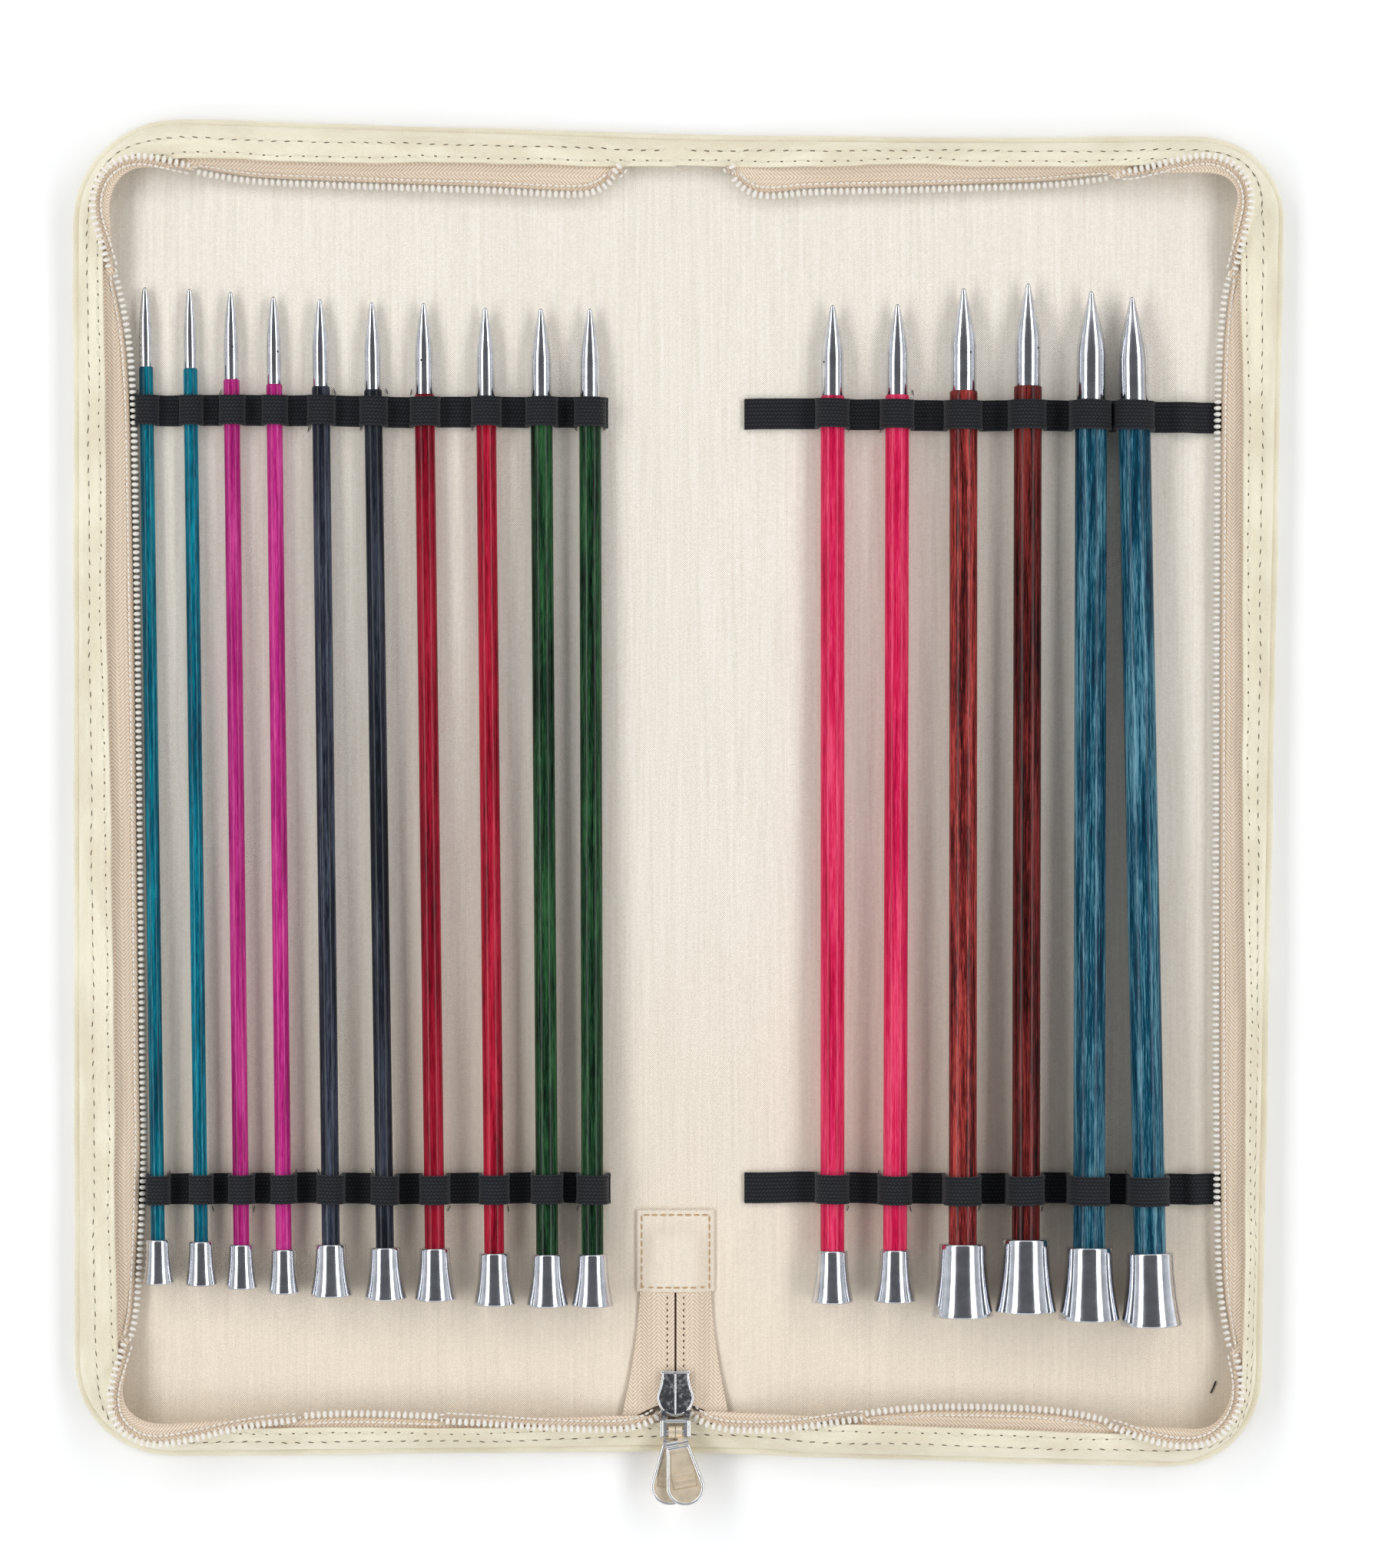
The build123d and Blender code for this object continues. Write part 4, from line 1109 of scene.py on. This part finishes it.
def tail_of_zip(sizes, colours):
    """The closed end of the zip: two strips that spread from the patch to the slider either side of
    a slit, and the stitched patch, a soft bump over the chain's end."""
    low, high = (c * 1000 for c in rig.box("zip_tail_patch"))
    slit, raised, foot = 0.27, 4.4, 9.4  # half the slit, and where the strip starts and ends its fall
    dots = []
    for side, sign in SIDES.items():
        t = np.linspace(0, 1, 13)[None, :]
        d = np.linspace(0, 1, 46)[:, None]
        flare = d**1.6
        x = slit + t * ((8.7 - slit) * (1 - flare) + (13.9 - slit) * flare)
        y = (low.y + 2.5) * (1 - d) + (-151.5 - 6.3 * t**1.3) * d
        droop = smooth(x, raised, foot)
        z = 5.6 * (1 - droop) + (2.85 + 1.9 * d**3) * droop + 0.05 * np.sin(y / 2.3) * t
        z -= 1.1 * np.exp(-(((x - 7.0) / 1.9) ** 2) - (((y + 150.5) / 3.6) ** 2))
        grid = np.stack([sign * x, y + 0 * x, z], -1)
        normal = across_surface(grid)
        cloth = slab(grid + normal * 0.26, grid - normal * 0.26, y + 0 * x, x - slit)
        strip = piece(f"zip_tail_strip_{side}", [cloth],
                      finish("herringbone_tape", herringbone, colours), "zip_tape")
        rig.ride(strip, "spine")
        if side == "left":
            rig.replaces(strip, "zip_tail_tapes")
        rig.sheet(strip, flat=(0.0115, 0.034), held="stretched", rests_on=["spine_lining"])
        y_dot = np.arange(-147.5, low.y + 1.0, 1.55)
        dots.append(np.column_stack([np.full(len(y_dot), sign * 2.05), y_dot, np.full(len(y_dot), 5.84)]))
    at = np.concatenate(dots)
    along, up = np.broadcast_to((0.0, 1.0, 0.0), at.shape), upright(at)
    gap = np.array([[0.0, (low.y - 147.0) / 2, 5.15]])
    seen = [capsules(at, along, up, 0.75, 0.5, 0.16),
            capsules(gap, along[:1], up[:1], low.y + 151.0, 0.8, 0.3)]
    slot = piece("zip_tail_shadows", seen, finish("tail_brown", thread, (0.13, 0.075, 0.045)), "zip_tape")
    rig.ride(slot, "spine")
    cells, hem = 60, 1.25
    wide, tall = high.x - low.x, high.y - low.y
    x = np.linspace(-1, 1, cells + 1)[None, :] * wide / 2
    y = np.linspace(0, 1, cells + 1)[:, None] * tall + low.y
    over = 1 - smooth(y, low.y + 12.5, high.y - 2.0)
    hump = (1 - smooth(np.abs(x), raised, foot)) * over
    rim = np.minimum(wide / 2 - np.abs(x), np.minimum(y - low.y, high.y - y))
    pucker = 0.10 * np.sin(x * 1.7 + y * 0.4) * (1 - smooth(np.abs(rim - 1.2), 0.2, 1.6))
    seam = -0.16 * np.exp(-(((rim - hem) / 0.35) ** 2))
    z = 3.1 + 0.35 * smooth(rim, 0, 0.5) + hump * (high.z - 3.15) + pucker + seam + 0 * x
    grid = np.stack([x + 0 * y, y + 0 * x, z], -1)
    patch = piece("zip_tail_patch_cloth", [slab(grid, grid - (0, 0, 0.8), x + 0 * y, y + 0 * x)],
                  finish("lining_satin_cloth", satin, colours), "lining_satin")
    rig.ride(patch, "spine")
    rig.replaces(patch, "zip_tail_patch")
    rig.sheet(patch, flat=(0.0195, 0.0205), held="stretched", rests_on=["spine_lining"])
    half_x, half_y = wide / 2 - hem, tall / 2 - hem
    lap = np.array([(-1, -1), (1, -1), (1, 1), (-1, 1), (-1, -1)]) * (half_x, half_y)
    ring = respaced(lap, 0.1) + (0, (high.y + low.y) / 2)
    s = run_length(ring)
    stops = np.arange(0.4, s[-1], 2.1)
    at, ahead = along_path(stops, s, ring)[0], along_path(stops + 0.4, s, ring)[0]
    along = flat_on(ahead - at)
    along /= np.maximum(np.linalg.norm(along, axis=1, keepdims=True), 1e-9)
    row = np.clip(((at[:, 1] - low.y) / tall * cells).round().astype(int), 0, cells)
    column = np.clip(((at[:, 0] + high.x) / (2 * high.x) * cells).round().astype(int), 0, cells)
    middle = np.column_stack([at, z[row, column] + 0.08])
    sewn = piece("zip_tail_patch_stitches", [capsules(middle, along, upright(along), 1.7, 0.46, 0.34)],
                 finish("tan_thread", thread, (0.60, 0.40, 0.22)), "lining_satin")
    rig.ride(sewn, "spine")


# ---- the elastic bands ----

# How far each band lies from the middle of its row: x at its two ends, and the shift there
BAND_SHIFT = {
    "elastic_band_upper_left": ((-135.0, -20.0), (0.1, -0.7)),
    "elastic_band_upper_right": ((18.0, 135.0), (-0.9, -1.8)),
    "elastic_band_lower_left": ((-135.0, -20.0), (0.5, 0.6)),
    "elastic_band_lower_right": ((18.0, 135.0), (0.7, 0.4)),
}


# Each band's spare loop, where no needle is held: its two ends in x, and how high it stands
SPARE_LOOPS = {
    "elastic_band_upper_right": (124.0, 132.5, 1.7),
    "elastic_band_lower_right": (126.2, 133.8, 1.5),
}
BAND_REST = 0.46  # a band's middle above the lining
BAND_WIDTH = 7.7


def band_path(band):
    """The band's middle line in x and z: flat between the needles, and over each needle an arc that
    leaves along tangents to its two stitch lines. Returns the line, the stitch lines' x and the
    row's y."""
    low, high = (c * 1000 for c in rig.box(band))
    y = (low.y + high.y) / 2
    flat = PANEL_TOP + BAND_REST
    line, feet = [(low.x, flat)], []
    for name in NEEDLES:
        origin, axis, _, radius = needle_line(name)
        middle = origin + axis * (y - origin[1]) / axis[1]
        if not low.x < middle[0] < high.x:
            continue
        reach = radius + 0.3 + BAND_REST
        foot = reach + 0.3
        drop = flat - middle[2]
        tangent = math.atan2(drop, foot) + math.acos(min(1.0, reach / math.hypot(foot, drop)))
        angle = np.linspace(math.pi - tangent, tangent, 40)
        arc = np.stack([middle[0] + reach * np.cos(angle), middle[2] + reach * np.sin(angle)], -1)
        line += [(middle[0] - foot - 0.5, flat), (middle[0] - foot, flat), *arc,
                 (middle[0] + foot, flat), (middle[0] + foot + 0.5, flat)]
        feet += [middle[0] - foot, middle[0] + foot]
    line.append((high.x, flat))
    line = np.array(line)
    line[:, 0] = np.maximum.accumulate(line[:, 0] + np.arange(len(line)) * 1e-6)
    return line, np.array(feet), y


def elastic_of(band, sizes, colours):
    """One elastic band: its middle line carried across its width, with a cord along each edge, a
    spare loop where no needle is held, and thread where it is sewn down."""
    side = "left" if band.endswith("left") else "right"
    line, feet, y_mid = band_path(band)
    p = softened(respaced(line, 0.28), 5)
    if band in SPARE_LOOPS:
        a, b, rise = SPARE_LOOPS[band]
        p[:, 1] += rise * np.sin(np.clip((p[:, 0] - a) / (b - a), 0, 1) * math.pi) ** 2
    slack = np.clip(1 - np.abs(p[:, 1] - PANEL_TOP - BAND_REST) / 0.5, 0, 1)
    p[:, 1] += slack * (0.10 + 0.10 * np.sin(p[:, 0] * 0.9))
    t = directions(p)
    n = np.stack([-t[:, 1], t[:, 0]], -1)
    v = np.linspace(-0.5, 0.5, 25)[None, :]
    s = run_length(p)
    width = BAND_WIDTH - 0.5 * smooth(p[:, 1], PANEL_TOP + 1.5, PANEL_TOP + 6)
    ends, shift = BAND_SHIFT[band]
    drift = np.interp(p[:, 0], ends, shift) + ripple(p[:, 0], len(band) + int(abs(y_mid)), 0.12, 60)
    y = y_mid + drift[:, None] + v * width[:, None]
    cord = 0.20 * np.exp(-(((np.abs(v) - 0.43) / 0.045) ** 2)) + 0.04 * np.cos(v * TURN * 10)
    pinch = np.exp(-((p[:, :1] - feet[None]) ** 2) / 0.08).max(1) if len(feet) else 0 * s
    half = sizes.elastic / 2 - 0.13 * pinch
    lift = (half[:, None] + cord)[..., None] * n[:, None]
    sink = (sizes.elastic / 2) * n[:, None] + 0 * lift
    middle = np.broadcast_to(p[:, None], lift.shape)
    top, under = middle + lift, middle - sink
    join = lambda xz: np.stack([xz[..., 0], y, xz[..., 1]], -1)
    along_band, across_band = (np.broadcast_to(c, y.shape) for c in (s[:, None], v * 8.2 + 4.1))
    made = piece(band + "_braid", [slab(join(top), join(under), along_band, across_band)],
                 finish("black_braid", braid, colours.elastic), "elastic")
    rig.ride(made, f"{side}_half")
    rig.replaces(made, band)
    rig.sheet(made, flat=(0.0100, s[-1] / 1000), area=BAND_WIDTH / 1000 * s[-1] / 1000, held="stretched",
             rests_on=[f"lining_{side}"])
    rows = np.linspace(-3.1, 3.1, 6)
    height, slip = (np.repeat(np.interp(feet, p[:, 0], c), 6) for c in (p[:, 1], drift))
    at = np.stack([np.repeat(feet, 6), np.tile(rows, len(feet)) + y_mid + slip,
                   height + sizes.elastic / 2 - 0.06], -1)
    along = np.broadcast_to((0.0, 1.0, 0.0), at.shape)
    rng = np.random.default_rng(len(band) * 7 + int(abs(y_mid)))
    picks = rng.permutation(len(feet))[: max(3, len(feet) // 2)]
    n_ends = len(picks)
    which = np.sign(rng.uniform(-1, 1, n_ends))
    ends = np.stack([feet[picks], y_mid + which * (4.3 + 0.5 * rng.random(n_ends)),
                     np.full(n_ends, PANEL_TOP + 0.35)], -1)
    lean = np.stack([rng.uniform(-0.5, 0.5, n_ends), np.ones(n_ends), rng.uniform(0.0, 0.25, n_ends)], -1)
    lean /= np.linalg.norm(lean, axis=1, keepdims=True)
    side_up = np.cross(lean, (1.0, 0.0, 0.0))
    side_up /= np.linalg.norm(side_up, axis=1, keepdims=True)
    sewn = piece(band + "_thread", [capsules(at, along, upright(at), 0.95, 0.3),
                                    capsules(ends, lean, side_up, 1.7, 0.2)],
                 finish("black_thread", thread, BLACK_THREAD), "elastic")
    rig.ride(sewn, f"{side}_half")


# ---- the needles ----


def corners_of(node):
    """A CAD node's vertices in millimetres."""
    mesh = frame["nodes"][node].data
    co = np.empty(len(mesh.vertices) * 3, np.float32)
    mesh.vertices.foreach_get("co", co)
    return co.reshape(-1, 3).astype(float) * 1000


def needle_line(name):
    """A needle's axis from its CAD pieces: where its wide end's flat middle is, the unit direction to
    the point, the lengths to the shaft's two ends and to the point, and the shaft's radius."""
    axis = np.array(next(j["axis"] for j in frame["joints"] if j["child"] == name))
    metal, wood = corners_of(name + "_tip_and_stopper"), corners_of(name + "_shaft")
    along = metal @ axis
    foot = metal[along < along.min() + 0.02]
    origin = (foot.min(0) + foot.max(0)) / 2
    shaft = wood @ axis - origin @ axis
    ring = wood[shaft < shaft.min() + 0.02]
    radius = (ring[:, 0].max() - ring[:, 0].min()) / 2
    return origin, axis, (shaft.min(), shaft.max(), along.max() - along.min()), radius


def point_profile(shoulder, whole, r):
    """The plated point's outline from its shoulder: straight, then a Bezier taper and a round end."""
    taper = (whole - shoulder) * 0.58
    t = np.linspace(0, 1, 26)
    basis = np.stack([(1 - t) ** 3, 3 * (1 - t) ** 2 * t, 3 * (1 - t) * t**2, t**3], -1)
    s = basis @ (whole - taper, whole - taper * 0.72, whole - taper * 0.2, whole - 0.65)
    radius = basis @ (r, r, 1.04, 0.65)
    angle = np.linspace(0, TURN / 4, 7)[1:-1]
    dome = np.stack([whole - 0.65 + 0.65 * np.sin(angle), 0.65 * np.cos(angle)], -1)
    start = [(shoulder, 0), (shoulder, r - 0.10), (shoulder + 0.03, r - 0.03), (shoulder + 0.10, r)]
    return [*start, *np.stack([s, radius], -1), *dome, (whole, 0)]


def bell_profile(height, wide, narrow, bore):
    """The stopper's outline from its flat foot: a round rim, a side that follows the parabola
    through the foot, the waist and the neck, and a round lip that turns in to the wood."""
    lip = 0.5
    waist = (height * 0.45, narrow + (wide - narrow) * 0.32)
    low, high = (lip, wide), (height - lip, narrow)
    s = np.linspace(lip, height - lip, 22)
    radius = sum(
        b[1] * (s - a[0]) * (s - c[0]) / ((b[0] - a[0]) * (b[0] - c[0]))
        for a, b, c in ((waist, low, high), (low, waist, high), (low, high, waist))
    )
    angle = np.linspace(0, TURN / 4, 6)
    foot = np.stack([lip - lip * np.cos(angle), wide - lip + lip * np.sin(angle)], -1)
    neck = np.stack([height - lip + lip * np.sin(angle), narrow - lip + lip * np.cos(angle)], -1)
    socket = [(height, bore), (height - 0.7, bore), (height - 0.7, 0)]
    return [(0, 0), *foot[:-1], *np.stack([s, radius], -1), *neck[1:], *socket]


def needle(name, index, sizes):
    """One needle: a lacquered shaft turned about its own axis, so that the grain follows it, and its
    plated point and stopper, whose sizes come from the CAD pieces."""
    origin, axis, (start, end, whole), r = needle_line(name)
    shoulder = end - sizes.tenon
    profile = [(start, 0), (start, r - 0.08), (start + 0.1, r)]
    profile += [(s, r) for s in np.linspace(start + 4, shoulder - 1.2, 30)]
    profile += [(shoulder - 0.35, r), (shoulder - 0.08, r - 0.10), (shoulder, r - 0.22),
                (shoulder + 0.02, r * 0.5), (end, r * 0.5), (end, 0)]
    wood = WOODS[name.split("_")[1] + "_" + name.split("_")[2][0]]
    lacquer = lacquered(f"dyed_birch_{name}", wood, SHADES.get(name, 1.0), 37.0 * index, sizes.gloss)
    made = piece(name + "_wood", [lathe(origin, axis, profile, sizes.sides)], lacquer, f"wood_{wood}")
    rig.ride(made, name)
    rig.replaces(made, name + "_shaft")
    metal = corners_of(name + "_tip_and_stopper") - origin
    along = metal @ axis
    spoke = metal - along[:, None] * axis
    radius = np.linalg.norm(spoke, axis=1)
    bell = along < whole / 2
    height = along[bell].max()
    narrow = radius[bell & (along > height - 0.55)].max()
    bell_outline = bell_profile(height, radius[bell].max(), narrow, r + 0.05)
    turned = piece(
        name + "_metal",
        [lathe(origin, axis, point_profile(shoulder, whole, r * 0.92), sizes.sides),
         lathe(origin, axis, bell_outline, sizes.sides + 8)],
        finish("bright_plating", plated, (0.79, 0.81, 0.86), 0.13),
        "polished_metal",
    )
    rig.ride(turned, name)
    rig.replaces(turned, name + "_tip_and_stopper")
    # Two dark dots: painted shade inside the point's vent hole, and a painted dark reflection on the point's round
    # end.
    vent = whole - (whole - shoulder) * 0.63
    rim = spoke[(np.abs(along - vent) < 0.33) & (radius > r * 0.75)]
    out = rim.mean(0) / np.linalg.norm(rim.mean(0)) if len(rim) else np.array((0.0, 0.0, 1.0))
    at = np.array([origin + axis * vent + out * (r * 0.92 - 0.01), origin + axis * (whole - 0.02)])
    along = np.array([axis, np.cross(axis, (1.0, 0.0, 0.0))])
    dots = capsules(at, along, np.array([out, axis]), 0.6, 0.6, 0.08)
    holes = piece(name + "_holes", [dots], finish("hole_black", hole_black), "polished_metal")
    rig.ride(holes, name)


# ---- the slider and its pulls ----


BAR_Y = -159.2  # the bar that both pulls hang on
BRIGHT_RIM = (plated, (0.86, 0.86, 0.87), 0.16, 0.8)


def hoop(path, z, wide, tall):
    """A rounded bead laid along a closed plan path: an ellipse carried round it."""
    ahead = np.roll(path, -1, 0) - np.roll(path, 1, 0)
    ahead /= np.linalg.norm(ahead, axis=1, keepdims=True)
    across = np.column_stack([-ahead[:, 1], ahead[:, 0], 0 * ahead[:, 0]])
    section = circle(10, wide, tall)
    ring = across[:, None] * section[:, :1] + section[:, 1:] * (0.0, 0.0, 1.0)
    points = flat_on(path, z)[:, None] + ring
    return points.reshape(-1, 3), quads(len(path) + 1, 10, True) % (10 * len(path)), None


def drawn_in(path, inset):
    """A closed clockwise path moved inwards."""
    ahead = np.roll(path, -1, 0) - np.roll(path, 1, 0)
    ahead /= np.linalg.norm(ahead, axis=1, keepdims=True)
    return path + inset * np.stack([ahead[:, 1], -ahead[:, 0]], -1)


def slider_trim():
    """The slider's bright rim, which follows its shield-shaped plate, the ridge down its middle and
    the frame that holds the bar."""
    nose, tail, top = -155.5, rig.box("zip_slider")[1].y * 1000, 7.1
    right = curve([(0.05, tail), (3.4, tail), (3.5, tail - 0.1), (3.5, tail - 1.6), (3.9, -147.9),
                   (4.65, -150.4), (4.3, -152.3), (3.4, -153.9), (1.9, -155.0), (0.05, nose)], 70)
    shield = respaced(np.concatenate([right, right[::-1] * (-1, 1)]), 0.3)[:-1]
    y = np.linspace(tail - 0.6, nose + 0.7, 20)
    ridge = np.column_stack([0 * y, y, np.full(20, top + 0.28)])
    x = np.linspace(-3.1, 3.1, 16)
    bar = np.column_stack([x, np.full(16, -156.4), 8.75 - 0.04 * x**2])
    rail = np.linspace(-156.2, -160.2, 12)
    parts = [hoop(drawn_in(shield, 0.30), top - 0.02, 0.34, 0.36)]
    rails = [np.column_stack([np.full(12, at), rail, np.full(12, 8.75)]) for at in (-3.4, 3.4)]
    for line, across, size in ((ridge, (1.0, 0.0, 0.0), 0.27), (bar, (0.0, 1.0, 0.0), 0.5),
                               *((line, (1.0, 0.0, 0.0), 0.5) for line in rails)):
        across = np.broadcast_to(across, line.shape)
        parts.append(swept(line, across, upright(line), circle(10, size)))
    made = piece("zip_slider_rim", parts, finish("bright_rim", *BRIGHT_RIM), "zip_metal")
    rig.ride(made, "slider")


def pull_trim(which):
    """The rounded bright rim of one pull, the fine line below it and the bead across its head: the
    sides spread from the neck to a half-round end, turned about the bar."""
    front = which == "front"
    yaw, face = (math.radians(10.5), 9.85) if front else (math.radians(-6.0), 7.85)
    angle = np.linspace(0, -math.pi, 40)
    neck, half_neck, end_radius = -3.4, 2.85, 4.7
    end = np.stack([end_radius * np.cos(angle), -13.7 + end_radius * np.sin(angle)], -1)
    corners = [[(0.0, neck), (half_neck, neck)], end, [(-half_neck, neck), (0.0, neck)]]
    outline = respaced(np.concatenate(corners), 0.35)[:-1]
    turn = np.array([[math.cos(yaw), math.sin(yaw)], [-math.sin(yaw), math.cos(yaw)]])
    hung = lambda plan: plan @ turn + (0.0, BAR_Y)
    bead = np.column_stack([np.linspace(-2.75, 2.75, 14), np.full(14, -2.75)])
    head = flat_on(hung(bead), face - 0.75)
    across = np.broadcast_to((-math.sin(yaw), math.cos(yaw), 0.0), head.shape)
    parts = [hoop(hung(drawn_in(outline, 0.36)), face - 0.10, 0.42, 0.34),
             hoop(hung(drawn_in(outline, 0.02)), face - 0.95, 0.16, 0.55),
             swept(head, across, upright(head), circle(12, 0.85, 0.8))]
    made = piece(f"zip_pull_{which}_rim", parts, finish("bright_rim", *BRIGHT_RIM), "pull_metal")
    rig.ride(made, f"pull_{which}")


# ---- operators ----

# Each soft light: its place and size in metres and its power in watts, all aimed at the case
SOFT_LIGHTS = (
    ("soft_left", (-0.95, 0.05, 0.95), (2.6, 0.42), 14.0),
    ("soft_right", (0.95, 0.00, 0.95), (2.6, 0.42), 13.0),
    ("soft_top", (0.0, 1.15, 1.0), (1.6, 0.5), 2.2),
    ("soft_foot", (0.0, -1.15, 1.0), (1.6, 0.5), 1.8),
)
ROOM = (0.74, 0.13)  # how bright the room is near the horizon and overhead
SEEN_LENGTH = 394.2  # how much of the lining's plane the camera takes in along the spine


def cloth_operator(key, label, text, build):
    """An operator class that runs build for both halves."""

    def execute(self, context):
        for side in SIDES:
            build(side, context.scene.case_sizes, context.scene.case_colours)
        return {"FINISHED"}

    return type(
        "OBJECT_OT_case_" + key,
        (bpy.types.Operator,),
        {"__doc__": text, "bl_idname": "object.case_" + key, "bl_label": label,
         "bl_options": {"REGISTER", "UNDO"}, "execute": execute},
    )


CaseCover = cloth_operator("cover", "Cover", "Lay out the outer cover of both halves", cover_of)
CaseLining = cloth_operator("lining", "Lining", "Stretch the lining over both halves", lining_of)
CaseWall = cloth_operator("wall", "Walls", "Stand the leaning walls up and sew them", wall_of)
CaseZip = cloth_operator("zip", "Zip", "Run the zip tape and coil round both halves", zip_of)


class CaseTail(bpy.types.Operator):
    """Build the closed end of the zip and its stitched patch"""

    bl_idname = "object.case_tail"
    bl_label = "Zip Tail"
    bl_options = {"REGISTER", "UNDO"}

    def execute(self, context):
        """Builds the strips, the patch and its stitches."""
        scene = context.scene
        tail_of_zip(scene.case_sizes, scene.case_colours)
        frame["nodes"]["zip_tail_coil"].data.materials.clear()
        frame["nodes"]["zip_tail_coil"].data.materials.append(
            finish("nylon_coil", nylon, scene.case_colours.coil))
        return {"FINISHED"}


class CaseElastic(bpy.types.Operator):
    """Sew the four elastic bands down over the needles"""

    bl_idname = "object.case_elastic"
    bl_label = "Elastic Bands"
    bl_options = {"REGISTER", "UNDO"}

    def execute(self, context):
        """Builds each band from its CAD node's place."""
        for band in BANDS:
            elastic_of(band, context.scene.case_sizes, context.scene.case_colours)
        return {"FINISHED"}


class CaseNeedles(bpy.types.Operator):
    """Turn and lacquer every needle"""

    bl_idname = "object.case_needles"
    bl_label = "Needles"
    bl_options = {"REGISTER", "UNDO"}

    def execute(self, context):
        """Builds the shafts, points and stoppers."""
        if not NEEDLES:
            raise RuntimeError("the frame has no needles")
        for index, name in enumerate(NEEDLES):
            needle(name, index, context.scene.needle_sizes)
        return {"FINISHED"}


class CaseMetal(bpy.types.Operator):
    """Plate the slider and its pulls, and lay their bright rims"""

    bl_idname = "object.case_metal"
    bl_label = "Slider and Pulls"
    bl_options = {"REGISTER", "UNDO"}

    def execute(self, context):
        """Gives each hard CAD piece its material and lays the bright rims on them."""
        champagne = finish("champagne_nickel", plated, (0.95, 0.80, 0.60), 0.32, 0.5)
        looks = {
            "zip_slider": finish("hammered_nickel", slider_metal),
            "zip_pull_front": champagne,
            "zip_pull_rear": champagne,
        }
        for node, material in looks.items():
            mesh = frame["nodes"][node].data
            mesh.materials.clear()
            mesh.materials.append(material)
        slider_trim()
        for which in ("front", "rear"):
            pull_trim(which)
        return {"FINISHED"}


class CaseStage(bpy.types.Operator):
    """Lay the pale floor and set the lights and the camera"""

    bl_idname = "object.case_stage"
    bl_label = "Stage"
    bl_options = {"REGISTER", "UNDO"}

    def execute(self, context):
        """Builds the floor, the soft lights, the room and an overhead camera."""
        scene = context.scene
        f = Finish("studio_floor", Roughness=0.9)
        grain = f.noise(f.place(), (0.05, 0.05, 0.05), 3.0)
        f.set(Base_Color=f.mix(grain, (0.94, 0.94, 0.94), (0.97, 0.97, 0.97)))
        a = np.linspace(-3000, 3000, 9)
        x, y = np.meshgrid(a, a)
        grid = np.stack([x, y, 0 * x - 0.4], -1)
        floor = piece("studio_floor", [(grid.reshape(-1, 3), quads(9, 9), None)], f.material)
        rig.stage(floor)
        for name, at, size, power in SOFT_LIGHTS:
            data = bpy.data.lights.new(name, "AREA")
            data.shape, data.size, data.size_y, data.energy = "RECTANGLE", size[0], size[1], power
            light = bpy.data.objects.new(name, data)
            light.location = at
            light.rotation_euler = (-Vector(at)).to_track_quat("-Z", "Y").to_euler()
            scene.collection.objects.link(light)
        world = bpy.data.worlds.new("pale_room")
        world.use_nodes = True
        nodes, links = world.node_tree.nodes, world.node_tree.links
        coords, split = nodes.new("ShaderNodeTexCoord"), nodes.new("ShaderNodeSeparateXYZ")
        ramp = nodes.new("ShaderNodeMapRange")
        ends = {"From Min": 0.1, "From Max": 0.9, "To Min": ROOM[0], "To Max": ROOM[1]}
        for socket, value in ends.items():
            ramp.inputs[socket].default_value = value
        links.new(coords.outputs["Generated"], split.inputs[0])
        links.new(split.outputs[2], ramp.inputs["Value"])
        links.new(ramp.outputs[0], nodes["Background"].inputs[1])
        nodes["Background"].inputs[0].default_value = (0.93, 0.96, 1.0, 1.0)
        scene.world = world
        data = bpy.data.cameras.new("overhead")
        data.sensor_fit, data.sensor_height = "VERTICAL", 24.0
        data.lens = data.sensor_height * (EYE[2] - PANEL_TOP) / SEEN_LENGTH
        data.clip_end = 20
        camera = bpy.data.objects.new("overhead", data)
        camera.location = EYE / 1000
        scene.collection.objects.link(camera)
        scene.camera = camera
        scene.view_settings.view_transform = "Standard"
        return {"FINISHED"}


class CasePanel(bpy.types.Panel):
    """The steps that build the case, in order"""

    bl_idname = "VIEW3D_PT_needle_case"
    bl_label = "Needle Case"
    bl_space_type = "VIEW_3D"
    bl_region_type = "UI"
    bl_category = "Needle Case"

    def draw(self, context):
        """Lists the settings and the steps."""
        scene = context.scene
        for group in (scene.case_sizes, scene.case_colours, scene.needle_sizes):
            box = self.layout.box()
            for key in group.bl_rna.properties.keys():
                if key not in {"rna_type", "name"}:
                    box.prop(group, key)
        for step in STEPS:
            self.layout.operator(step.bl_idname)


STEPS = (CaseCover, CaseLining, CaseWall, CaseZip, CaseTail, CaseElastic, CaseNeedles, CaseMetal,
         CaseStage)
GROUPS = {"case_sizes": CaseSizes, "case_colours": CaseColours, "needle_sizes": NeedleSizes}


def register():
    """Registers the settings, the steps and the panel."""
    for key, group in GROUPS.items():
        bpy.utils.register_class(group)
        setattr(bpy.types.Scene, key, PointerProperty(type=group))
    for step in (*STEPS, CasePanel):
        bpy.utils.register_class(step)


def unregister():
    """Takes them away again."""
    for step in reversed((*STEPS, CasePanel)):
        bpy.utils.unregister_class(step)
    for key, group in GROUPS.items():
        delattr(bpy.types.Scene, key)
        bpy.utils.unregister_class(group)


def main():
    """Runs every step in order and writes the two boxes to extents.json."""
    register()
    for step in STEPS:
        area, name = step.bl_idname.split(".")
        getattr(getattr(bpy.ops, area), name)()
    sizes = {"cad": CAD_BOX, "visual": [list(corner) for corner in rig.bounds()]}
    with open("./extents.json", "w") as out:
        json.dump(sizes, out)


if __name__ == "__main__":
    main()
